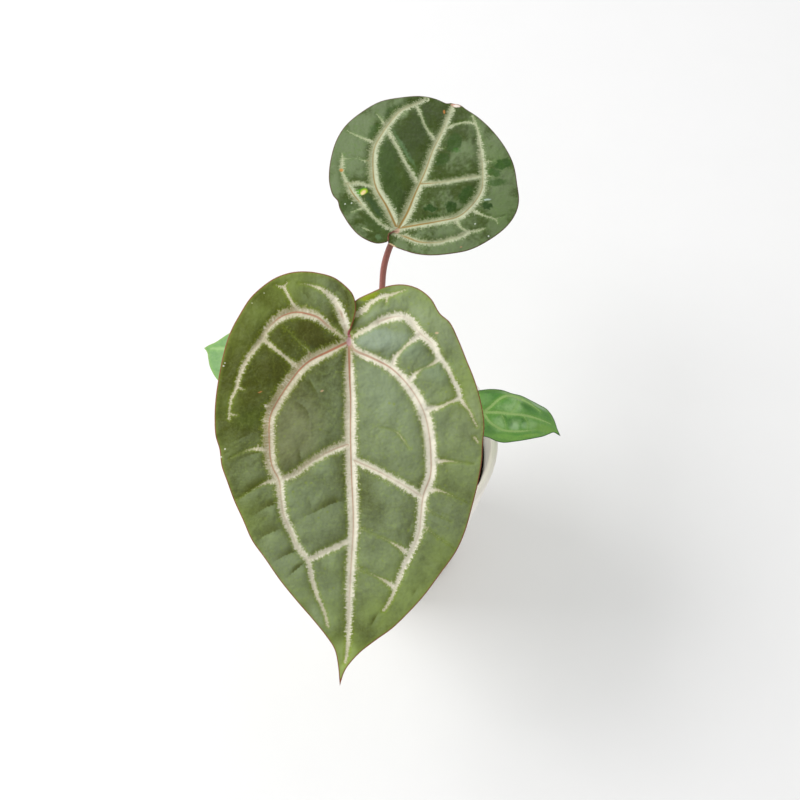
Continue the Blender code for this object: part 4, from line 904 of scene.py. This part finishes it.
def blade_sheet(flat, blade, look):
    """The blade's upper face in space over its plane points, and what its veins are like there."""
    tip = unit(onto_plane(blade.left_edge[-1:], blade)[0])
    outward = flat @ tip
    aside = np.abs(flat @ np.array([-tip[1], tip[0]])) / blade.half_width
    heights = blade.rise * outward - blade.arch * outward**2
    heights += blade.bulge * 4 * aside * (BULGE_SPAN - aside) / BULGE_SPAN**2
    for centre, reach, height in blade.swells:
        away = np.linalg.norm(flat - onto_plane([centre], blade)[0], axis=1)
        heights += height * soft_hill(away, reach)
    facts = vein_facts(flat, blade)
    heights += blade.puff * (1.0 - facts.closeness) - blade.groove * facts.closeness
    heights += look.pucker * ripple(flat) - creases(flat, blade, look)[0]
    moved = flat.copy()
    if blade.tuck:
        inward = tuck_share(flat) * blade.tuck
        moved[:, 0] -= inward
        heights -= inward * TUCK_DROP
    if blade.lap:
        under = lap_share(flat, blade)
        moved += under[:, None] * unit(LAP_WAY) * LAP_SHIFT
        heights -= under * LAP_DROP
    drops = fold_of_tip(flat, blade) if blade.tip_fold else np.zeros(len(flat))
    return raised(moved, heights, drops, blade), facts


def grid_inside(outline, spacing):
    """A grid of staggered rows of points within the outline."""
    low, high = outline.min(axis=0), outline.max(axis=0)
    after = np.roll(outline, -1, axis=0)
    rows = []
    for row, y in enumerate(np.arange(low[1], high[1], spacing * ROW_RATIO)):
        crossing = (outline[:, 1] > y) != (after[:, 1] > y)
        start, end = outline[crossing], after[crossing]
        meets = start[:, 0] + (y - start[:, 1]) * (end[:, 0] - start[:, 0]) / (end[:, 1] - start[:, 1])
        x = np.arange(low[0] + (row % 2) * spacing / 2, high[0], spacing)
        x = x[np.searchsorted(np.sort(meets), x) % 2 == 1]
        rows.append(np.column_stack([x, np.full(len(x), y)]))
    return np.vstack(rows)


def fine_sheet(blade, spacing):
    """The blade's plane points, the triangles between them, and each point's distance to the margin."""
    left = smooth_course(onto_plane(blade.left_edge, blade), spacing)
    right = smooth_course(onto_plane(blade.right_edge, blade), spacing)
    outline = np.vstack([left, right[1:]])
    closed = np.vstack([outline, outline[:1]])
    grid = grid_inside(outline, spacing)
    away = np.abs(nearest_on(closed, grid)[0])
    clear = away > OUTLINE_CLEARANCE * spacing
    points = np.vstack([outline, grid[clear]])
    margin = np.concatenate([np.zeros(len(outline)), away[clear]])
    border = list(range(len(outline)))
    made = delaunay_2d_cdt([tuple(place) for place in points], [], [border], 1, MERGE_DISTANCE)
    return points, [tuple(face) for face in made[2]], margin


def new_mesh(name, points, faces, kept, smooth=True):
    """A mesh from points in millimetres, with the named numbers or vectors kept for each point."""
    mesh = bpy.data.meshes.new(name)
    mesh.from_pydata((points * MM).tolist(), [], faces)
    if smooth:
        mesh.shade_smooth()
    for label, values in kept.items():
        values = np.asarray(values, np.float32)
        kind, key = ("FLOAT", "value") if values.ndim == 1 else ("FLOAT_VECTOR", "vector")
        mesh.attributes.new(label, kind, "POINT").data.foreach_set(key, values.ravel())
    return mesh


def new_object(name, data):
    made = bpy.data.objects.new(name, data)
    bpy.context.scene.collection.objects.link(made)
    return made


def dressed(name, mesh, *finishes):
    """An object with a mesh and its materials."""
    for finish in finishes:
        mesh.materials.append(finish)
    return new_object(name, mesh)


def piece(made, slot, *nodes):
    """Hangs an object on the part's body and hides the named CAD nodes, whose place it takes."""
    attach(made, "root")
    if nodes:
        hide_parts(*nodes)
    return made


def patch_shares(drawn, patches):
    """How strongly soft round patches show at each drawn point."""
    shares = np.zeros(len(drawn))
    for right, up, reach, strength in patches:
        away = np.hypot(drawn[:, 0] - right, drawn[:, 1] - up)
        shares = np.maximum(shares, strength * soft_hill(away, reach))
    return shares


def make_blade(blade, slot):
    """The blade as one fine sheet, thickened downwards and more so under its veins."""
    look = LOOKS[blade.name]
    flat, faces, margin = fine_sheet(blade, look.step)
    surface, facts = blade_sheet(flat, blade, look)
    drawn = as_drawn(flat, blade)
    kept = {"drawn": np.column_stack([drawn, np.zeros(len(flat))]), "margin": margin}
    for label in ("edge", "run", "across", "width", "wall"):
        kept[label] = getattr(facts, label)
    # How much painted shade, or below 0 painted light, each fold puts on the lamina
    kept["fold"] = creases(flat, blade, look)[1]
    # Pale patches: partly the leaf's own tone, partly painted sheen
    kept["pale"] = patch_shares(drawn, look.patches)
    kept["fresh"] = patch_shares(drawn, look.fresh_patches)
    kept["faint"] = patch_shares(drawn, look.faint)
    name = f"leaf_{blade.name}"
    mesh = new_mesh(name, surface, faces, kept)
    made = dressed(name, mesh, upper_finish(blade, look), under_finish(blade, look))
    full = blade.thickness + blade.rib
    thickness = MARGIN_THICKNESS + (blade.thickness - MARGIN_THICKNESS) * np.clip(margin / MARGIN_TAPER, 0, 1)
    thickness += blade.rib * facts.closeness * np.clip(facts.width / FULL_RIB, FAINTEST_VEIN, 1.0)
    from_tip = np.linalg.norm(flat - onto_plane(blade.left_edge[-1:], blade)[0], axis=1)
    thickness += TIP_FLESH * soft_hill(from_tip, TIP_FLESH_REACH)
    group = made.vertex_groups.new(name="ribs")
    for index, share in enumerate(np.clip(thickness / full, 0.0, 1.0)):
        group.add([index], float(share), "REPLACE")
    shell = made.modifiers.new("thickness", "SOLIDIFY")
    shell.thickness = full * MM
    shell.offset = -1.0
    shell.use_even_offset = False
    shell.vertex_group = group.name
    shell.thickness_vertex_group = 0.0
    shell.material_offset = 1
    piece(made, slot, f"blade_{blade.name}")


class UpperFace(Shade):
    """A blade's upper face: what its points keep, the light on it, and the ragged edge of its vein bands."""

    def __init__(self, blade, look):
        super().__init__(f"leaf_{blade.name}_upper")
        self.look = look
        self.drawn = self.place("drawn")
        self.right, self.up, _ = self.split(self.drawn)
        self.far = self.length(self.drawn)
        self.edge = self.number("edge")
        self.across = self.number("across")
        self.width = self.number("width")
        self.wall = self.number("wall")
        self.pale = self.number("pale")
        self.lined = 1 - self.number("faint")
        side = self.ease(self.across, -0.05, 0.05, -9, 9)
        self.comb = self.join(self.number("run"), self.across * 0.2, side)
        # How strongly one wall of each vein is painted in shade: less towards the right and low down
        self.wall_shade_strength = self.ease(self.right, *WALL_SHADE_AND_TAN_SIDE, look.right_wall_shade)
        self.wall_shade_strength *= self.ease(self.up, *WALL_SHADE_LOW, look.low_wall_shade)
        self.nearby = self.ease(self.far, 18, 4, 0, look.shaded_base)
        self.nearby *= self.ease(self.right + self.up * 0.6, 1, -3)
        self.mottle = self.noise(self.drawn, 0.55, 5, 0.7)
        self.warped = self.strayed(self.drawn, 0.12, 6)
        self.net = self.cells(self.warped, 0.12)
        self.fine_net = self.cells(self.warped, 0.55)
        self.ragged = self.edge + self.frill() + self.shag() - self.nearby

    def frill(self):
        """Teeth along a vein's run and a finer stipple, both shorter on slim veins."""
        reach = self.look.teeth
        teeth = self.ease(self.noise(self.comb, 1.9, 3, 0.75), 0.4, 0.72, -0.3 * reach, 0.7 * reach)
        stipple = self.ease(self.noise(self.drawn, 2.8, 3, 0.7), 0.3, 0.7, -0.5 * reach, 0.5 * reach)
        return (teeth + stipple) * self.ease(self.width, 0.5, 3, 0.4, 1)

    def shag(self):
        """Longer hairs on the wall of a broad vein that is painted in shade."""
        hairs = self.ease(self.noise(self.comb, 1.5, 2, 0.6), 0.4, 0.68, 0, self.look.shag)
        return hairs * self.wall_shade_strength * self.ease(self.wall, 0.1, -0.7) * self.ease(self.width, 1.8, 4)

    def lamina(self):
        """The blade between its veins: blotched from deep to pale, partly its own tone and partly painted
        sheen, stained, with some stains painted sheen, highlights, reflection and shade, painted shade beside
        its veins, painted shade and light on its folds, and finely netted.
        """
        look = self.look
        # Blotches between deep and pale, and the pale patches: partly the leaf's own tone, partly painted
        # sheen
        blotch = self.noise(self.drawn, 0.14, 4, 0.6) - 0.5
        pale = self.pale + blotch * look.patchy + self.ease(self.mottle, 0.3, 0.7, -0.07, 0.07)
        cloud = self.ease(self.noise(self.drawn, 0.3, 3, 0.6), 0.48, 0.68, 0, 0.25 * look.patchy)
        sunny = self.ease(self.noise(self.drawn, 0.42, 4, 0.7), 0.5, 0.64, 0, 0.45) * self.pale
        fresh = self.ease(self.number("fresh") + blotch * 0.3, 0, 1)
        colour = self.mix(self.ease(pale, *look.clear), look.deep, look.pale)
        colour = self.layered(colour, (cloud, look.pale), (sunny, look.fresh), (fresh, look.fresh))
        uneven = self.strayed(self.drawn, 0.45, look.stray)
        # Stains, some of which are painted sheen, highlights, reflection and shade
        for *ellipse, code, strength in look.stains:
            colour = self.mix(self.spot(uneven, *ellipse, SOFTEST_STAIN - strength) * strength, colour, code)
        # Painted shade on the lamina beside a vein's wall that is painted in shade
        painted_lee_shade = self.ease(self.edge, -PAINTED_SHADE_REACH, -0.4) * self.ease(self.wall, 0, -0.8)
        painted_lee_shade *= self.ease(self.width, 0, 3, 0.2 * look.painted_lee_shade, look.painted_lee_shade)
        # Painted shade on one side of each fold and painted light on the other
        fold = self.number("fold")
        speck = self.ease(self.noise(self.drawn, 1.1, 3, 0.7), 0.56, 0.7, 0, 0.22)
        return self.layered(
            colour,
            (painted_lee_shade, look.deep),
            (self.ease(fold, 0, 1, 0, 0.8), look.deep),
            (self.ease(fold, 0, -0.6, 0, 0.4), look.pale),
            (speck, look.fringe),
            (self.ease(self.net, 0.05, 0, 0, 0.08), look.fringe),
            (self.ease(self.fine_net, 0.12, 0, 0, 0.06), look.fringe),
        )

    def midline(self):
        """How much the line along the middle of a broad vein shows: widest and clearest near the base."""
        off_line = abs(self.across) - self.ease(self.far, 4, 34, 0.25, 0)
        line = self.ease(off_line, 0.42, 0.15) * self.ease(self.width, 2.4, 4.2)
        line *= self.ease(self.far, 10, self.look.line_reach, 1, 0.45)
        return line * self.ease(self.pale, 0.4, 1, 1, 0.5) * self.lined

    def vein(self, line):
        """The band over a vein: painted shade in tan on one wall and towards the left, hairy, flecked and
        lined.
        """
        look = self.look
        fleck = self.noise(self.drawn, 2.2, 4, 0.75)
        hairs = self.noise(self.comb, 1.6, 3, 0.75)
        wall = self.wall + self.ease(fleck, 0.35, 0.65, -0.35, 0.35)
        # Painted shade on the wall of a vein that faces away from the light
        painted_wall_shade = self.ease(wall, 0.3, -0.7) * self.ease(self.width, 1.5, 3.5, 0.3, 1) * self.wall_shade_strength
        # Painted shade over the whole band towards the left, fading out low down
        leftward = self.ease(self.right, *SHADED_SIDE, 0, look.shaded) * self.ease(self.up, *SHADED_LOW)
        middle = self.ease(abs(self.across), 1.1, 0.3, 0, 0.35)
        middle *= self.ease(self.right, *WALL_SHADE_AND_TAN_SIDE, 0.45, 1)
        frosted = self.ease(self.ragged, 1.1, 0.3) * self.ease(fleck, 0.4, 0.6, 0, 0.5)
        return self.layered(
            look.band,
            (painted_wall_shade, look.tan),
            (leftward, look.tan),
            (middle * self.lined, look.tan),
            (self.ease(hairs, 0.52, 0.66, 0, 0.6), look.band),
            (self.ease(hairs, 0.48, 0.36, 0, 0.4) * self.wall_shade_strength, look.tan),
            (frosted, look.band),
            (self.ease(fleck, 0.5, 0.7, 0, 0.3), look.thin),
            (self.ease(self.width, 0.8, 2.4, 0.85, 0) * (1 - leftward), look.thin),
            (self.nearby, look.tan),
            (line, look.line),
        )


def upper_finish(blade, look):
    """The upper face: puffed lamina with a fine net, feather-edged vein bands, and a thin coloured margin."""
    face = UpperFace(blade, look)
    band = face.ease(face.ragged, -0.26, 0.24)
    line = face.midline()
    near = face.ease(face.ragged, -1.5, -0.15) * face.ease(face.width, 0, 3, 0.75, 1)
    colour = face.layered(face.lamina(), (near * 0.45, look.fringe), (band * 0.96, face.vein(line)))
    halo = face.ease(face.ragged, -1.9, -0.1) * face.ease(face.width, 0, 3, 0.3, 1) * (1 - band)
    colour = face.vivid(halo * look.halo, colour, 1.25)
    dots = face.ease(face.cells(face.drawn, 0.16, "F1"), 0.14, 0.06) * face.pale
    margin = face.number("margin")
    colour = face.layered(
        colour,
        (dots * face.ease(band, 0.3, 0, 0, 0.6), look.fringe),
        (face.ease(margin, 2.4, 0.2, 0, look.rim), look.fringe),
        (face.ease(margin, 0.55, 0.25, 0, 0.9), look.margin),
    )
    frayed = face.strayed(face.drawn, 1.3, 0.8)
    # Small marks, and on the top blade a painted glint
    for *ellipse, code in look.marks_and_glints:
        colour = face.mix(face.spot(frayed, *ellipse) * 0.85, colour, code)
    relief = face.relief(
        (face.noise(face.drawn, 0.1, 3, 0.55), 3),
        (face.ease(face.net, 0, 0.2), 0.08),
        (face.ease(face.fine_net, 0, 0.3), 0.03),
        (face.noise(face.drawn, 3.2, 4, 0.7), 0.05),
        (line, 0.08),
    )
    rough = face.ease(face.mottle, 0.25, 0.75, look.roughness - 0.06, look.roughness + 0.08)
    return face.finish(colour, rough, relief, look.gloss)


def under_finish(blade, look):
    """The under face: paler and matt, with raised veins in a lighter tone."""
    shade = Shade(f"leaf_{blade.name}_under")
    drawn = shade.place("drawn")
    mottle = shade.noise(drawn, 0.5, 5, 0.7)
    net = shade.cells(drawn, 0.3)
    colour = shade.layered(
        look.under,
        (shade.ease(mottle, 0.3, 0.7), look.under_shade),
        (shade.ease(net, 0.08, 0, 0, 0.35), look.under_vein),
        (shade.ease(shade.number("edge"), -0.8, 0.6), look.under_vein),
        (shade.ease(shade.number("margin"), 0.6, 0.3, 0, 0.8), look.margin),
    )
    relief = shade.relief((shade.ease(net, 0.25, 0), 0.12), (shade.noise(drawn, 3, 3, 0.6), 0.05))
    return shade.finish(colour, shade.ease(mottle, 0.3, 0.7, 0.55, 0.68), relief)


def ring_faces(rings, sides):
    """Quads between rings of points that turn the same way, and one face for each end."""
    faces = []
    for row in range(rings - 1):
        low, high = row * sides, (row + 1) * sides
        for index in range(sides):
            after = (index + 1) % sides
            faces.append((low + index, low + after, high + after, high + index))
    faces.append(tuple(reversed(range(sides))))
    faces.append(tuple(range((rings - 1) * sides, rings * sides)))
    return faces


def make_stalk(blade, slot, foot, top):
    """A fine round stalk along the CAD one's course, which ends inside the rib under its blade."""
    around = onto_plane([blade.seat], blade) + np.array([[0.0, 0.0], [1.0, 0.0], [0.0, 1.0]])
    places, _ = blade_sheet(around, blade, LOOKS[blade.name])
    facing = unit(np.cross(places[1] - places[0], places[2] - places[0]))
    end = places[0] - facing * (blade.thickness + STALK_BITE * blade.rib)
    path = smooth_course(np.vstack([blade.stalk, end]), STALK_STEP)
    tangents = np.gradient(path, axis=0)
    tangents[-1] = facing
    across = unit(np.cross([0.0, 1.0, 0.0], tangents[0]))
    angles = np.arange(STALK_SIDES) * 2 * math.pi / STALK_SIDES
    shares = np.linspace(0.0, 1.0, len(path))
    points = []
    for centre, tangent, radius in zip(path, tangents, along_course(shares, blade.stalk_radii)):
        forward = unit(tangent)
        across = unit(across - forward * (across @ forward))
        upright = np.cross(forward, across)
        ring = np.cos(angles)[:, None] * across + np.sin(angles)[:, None] * upright
        points.append(centre + radius * ring)
    name = f"stalk_{blade.name}"
    kept = {"along": np.repeat(shares, STALK_SIDES)}
    mesh = new_mesh(name, np.vstack(points), ring_faces(len(path), STALK_SIDES), kept)
    piece(dressed(name, mesh, stalk_finish(name, foot, top)), slot, f"petiole_{blade.name}")


def stalk_finish(name, foot, top):
    """Smooth stalk skin, greener at its foot, with fine lengthwise streaks."""
    shade = Shade(name)
    streaks = shade.streaks((1400, 1400, 120), 3, 0.6)
    blush = shade.noise(shade.object_place(), 90, 3, 0.6)
    share = shade.number("along") + shade.ease(blush, 0.3, 0.7, -0.2, 0.2)
    streaked = (shade.ease(streaks, 0.45, 0.8, 0, 0.3), "#5a2f2a")
    colour = shade.layered(foot, (shade.ease(share, 0, 0.5), top), streaked)
    return shade.finish(colour, shade.ease(streaks, 0.3, 0.7, 0.36, 0.5), shade.relief((streaks, 0.12)))


def round_normal(shade):
    """The direction a turned wall faces, even all round, from the place on it and the face it belongs to."""
    x, y, _ = shade.split(shade.object_place())
    outward = shade.vector_math("NORMALIZE", shade.join(x, y))
    facing = shade.node("NewGeometry", {}, "True Normal")
    upright = shade.split(facing)[2]
    agree = shade.vector_math("DOT_PRODUCT", outward, facing, output="Value")
    level = shade.math("SQRT", 1 - upright * upright) * shade.math("SIGN", agree)
    sideways = shade.node("VectorMath", {0: outward, "Scale": level}, operation="SCALE")
    return shade.vector_math("ADD", sideways, shade.join(0, 0, upright))


def pot_finish():
    """Matt off-white pot: a faint even grain, and a soft darkening in its lowest 12 millimetres."""
    shade = Shade("pot_matt")
    place = shade.object_place()
    grain = shade.noise(place, 900, 4, 0.7)
    cloud = shade.noise(place, 22, 3, 0.5)
    height = shade.split(place)[2]
    colour = shade.layered(
        "#fcf8f1",
        (shade.ease(cloud, 0.35, 0.7), "#f4ede2"),
        (shade.ease(grain, 0.62, 0.78, 0, 0.18), "#c9c1b2"),
        (shade.ease(height, 0.012, 0, 0, 0.35), "#c8bfae"),
    )
    relief = shade.relief((grain, 0.08), (cloud, 0.5), under=round_normal(shade))
    return shade.finish(colour, shade.ease(grain, 0.3, 0.7, 0.5, 0.62), relief)


def mix_finish(name, deep, light, speck):
    """Weathered bark or fibre: layered along each chip, with the chip's own tone."""
    shade = Shade(name)
    layers = shade.streaks((320, 320, 1600), 5, 0.7)
    pits = shade.noise(shade.object_place(), 1500, 4, 0.7)
    tint = shade.number("tint") + shade.ease(layers, 0.3, 0.7, -0.3, 0.3)
    colour = shade.layered(deep, (tint, light), (shade.ease(pits, 0.6, 0.75, 0, 0.5), speck))
    relief = shade.relief((layers, 0.7), (pits, 0.25))
    return shade.finish(colour, shade.ease(pits, 0.3, 0.7, 0.75, 0.95), relief)


def crown_finish():
    """Green-brown skin, ringed with dry scars."""
    shade = Shade("crown_skin")
    rings = shade.streaks((60, 60, 900), 3, 0.6)
    pits = shade.noise(shade.object_place(), 1100, 4, 0.7)
    scars = (shade.ease(rings, 0.4, 0.65), "#6e5238")
    colour = shade.layered("#5c6433", scars, (shade.ease(pits, 0.55, 0.75, 0, 0.6), "#3a2c20"))
    return shade.finish(colour, 0.7, shade.relief((rings, 0.6), (pits, 0.25)))


def paper_finish():
    """Dry papery sheath with lengthwise fibres and stains."""
    shade = Shade("dry_sheath")
    fibres = shade.streaks((2200, 2200, 90), 4, 0.65)
    stain = shade.noise(shade.object_place(), 160, 4, 0.6)
    dark = (shade.ease(fibres, 0.35, 0.65), "#6e4e30")
    colour = shade.layered("#a88a60", dark, (shade.ease(stain, 0.45, 0.7, 0, 0.6), "#4a3222"))
    return shade.finish(colour, 0.72, shade.relief((fibres, 0.3)))


def chip(draw, centre, size, flatness):
    """The points and faces of one irregular chip, turned at random."""
    turn = draw.uniform(0, 2 * math.pi)
    tilt = draw.uniform(-CHIP_TILT, CHIP_TILT, 2)
    stretch = np.array([size, size * draw.uniform(*CHIP_BREADTHS), size * flatness])
    points = []
    for row in range(CHIP_ROWS):
        level = -1 + 2 * (row + 0.5) / CHIP_ROWS
        wide = (1 - abs(level) ** 3) ** 0.5
        for side in range(CHIP_SIDES):
            angle = 2 * math.pi * side / CHIP_SIDES
            reach = wide * draw.uniform(*CHIP_REACHES)
            height = level + draw.uniform(-CHIP_WOBBLE, CHIP_WOBBLE)
            points.append((reach * math.cos(angle), reach * math.sin(angle), height))
    points = np.array(points) * stretch
    flat = np.array([[math.cos(turn), -math.sin(turn), 0], [math.sin(turn), math.cos(turn), 0], [0, 0, 1]])
    leant = np.array([[1, 0, tilt[0]], [0, 1, tilt[1]], [-tilt[0], -tilt[1], 1]])
    return points @ flat.T @ leant.T + centre, ring_faces(CHIP_ROWS, CHIP_SIDES)


def scatter(name, finish, strewn, seed, count, sizes, flatness, levels):
    """Chips strewn over the mix, between the crown and the pot's wall, as one piece. None lies higher than on
    the bed or on the chips strewn before it."""
    draw = np.random.default_rng(seed)
    points = []
    faces = []
    tints = []
    for _ in range(count):
        size = draw.uniform(*sizes)
        nearest = CROWN_RADIUS + size + CROWN_CLEARANCE
        farthest = MIX_RADIUS - size * LONGEST_CHIP
        reach = math.sqrt(draw.uniform(nearest**2, farthest**2))
        angle = draw.uniform(0, 2 * math.pi)
        level = MIX_LEVEL + draw.uniform(*levels)
        centre = np.array([reach * math.cos(angle), reach * math.sin(angle), level])
        tops = [top for x, y, cover, top in strewn if math.hypot(x - centre[0], y - centre[1]) < cover]
        centre[2] = min(centre[2], max(tops, default=MIX_LEVEL) + REST * size * flatness)
        strewn.append((centre[0], centre[1], COVER * size, centre[2] + REST * size * flatness))
        shape, sides = chip(draw, centre, size, flatness)
        start = len(points) * len(shape)
        points.append(shape)
        faces += [tuple(index + start for index in side) for side in sides]
        tints.append(np.full(len(shape), draw.uniform(0, 1)))
    mesh = new_mesh(name, np.vstack(points), faces, {"tint": np.concatenate(tints)}, smooth=False)
    piece(dressed(name, mesh, finish), "soil")


def dress_node(name, finish):
    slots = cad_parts[name].data.materials
    slots.clear()
    slots.append(finish)


def make_mix():
    dress_node("soil", mix_finish("mix_bed", "#1d140d", "#3a2819", "#0f0a07"))
    bark = mix_finish("bark_chips", "#2e1c12", "#7d5636", "#1a110b")
    strewn = []
    scatter("bark_chips", bark, strewn, seed=5, count=420, sizes=(2.2, 6), flatness=0.34, levels=(1, 4.5))
    scatter("bark_crumbs", bark, strewn, seed=8, count=700, sizes=(0.7, 1.9), flatness=0.6, levels=(2, 5))
    stone = mix_finish("perlite", "#d8d4ca", "#f0eee8", "#a49c8c")
    scatter("perlite", stone, strewn, seed=13, count=90, sizes=(0.9, 2.2), flatness=0.8, levels=(2.5, 5.5))


def make_camera():
    data = bpy.data.cameras.new("camera")
    data.sensor_width = SENSOR_WIDTH
    data.lens = FOCAL_PIXELS / FRAME_PIXELS * SENSOR_WIDTH
    data.clip_start = NEAREST_SHOWN
    camera = new_object("camera", data)
    turn = Matrix((RIGHTWARD, UPWARD, np.cross(RIGHTWARD, UPWARD))).transposed().to_4x4()
    camera.matrix_world = Matrix.Translation(Vector(EYE) * MM) @ turn
    bpy.context.scene.camera = camera


def make_key_light():
    """One soft square light from the upper left, towards the middle of the plant."""
    data = bpy.data.lights.new("key", "AREA")
    data.shape = "SQUARE"
    data.size = KEY_SIZE
    data.energy = KEY_POWER
    light = new_object("key", data)
    light.location = KEY_PLACE
    light.rotation_euler = (Vector(KEY_TARGET) - Vector(KEY_PLACE)).to_track_quat("-Z", "Y").to_euler()


def make_studio():
    """A plain pale floor and an even pale surround."""
    corners = [(x * FLOOR_REACH, y * FLOOR_REACH, 0.0) for x, y in ((-1, -1), (1, -1), (1, 1), (-1, 1))]
    mesh = bpy.data.meshes.new("floor")
    mesh.from_pydata(corners, [], [(0, 1, 2, 3)])
    shade = Shade("floor")
    colour = shade.mix(shade.noise(shade.object_place(), 30, 2, 0.5), "#f5f5f5", "#f7f7f7")
    dressed("floor", mesh, shade.finish(colour, 0.9))
    world = bpy.data.worlds.new("surround")
    world.use_nodes = True
    sky = world.node_tree.nodes["Background"]
    sky.inputs["Color"].default_value = (1.0, 1.0, 1.0, 1.0)
    sky.inputs["Strength"].default_value = SKY_STRENGTH
    bpy.context.scene.world = world
    bpy.context.scene.view_settings.view_transform = "Standard"


def main():
    make_blade(MAIN, "blade")
    make_blade(TOP, "dark_blade")
    make_blade(RIGHT_LEAF, "young_blade")
    make_blade(LEFT_LEAF, "young_blade")
    make_stalk(MAIN, "petiole", "#6d6b3e", "#a8705f")
    make_stalk(TOP, "petiole", "#6d5a40", "#a0625a")
    make_stalk(RIGHT_LEAF, "young_petiole", "#7d9a4c", "#8aa35a")
    make_stalk(LEFT_LEAF, "young_petiole", "#7d9a4c", "#8c8a55")
    make_mix()
    dress_node("pot", pot_finish())
    dress_node("crown", crown_finish())
    paper = paper_finish()
    dress_node("cataphyll_front", paper)
    dress_node("cataphyll_back", paper)
    make_camera()
    make_studio()
    make_key_light()


main()
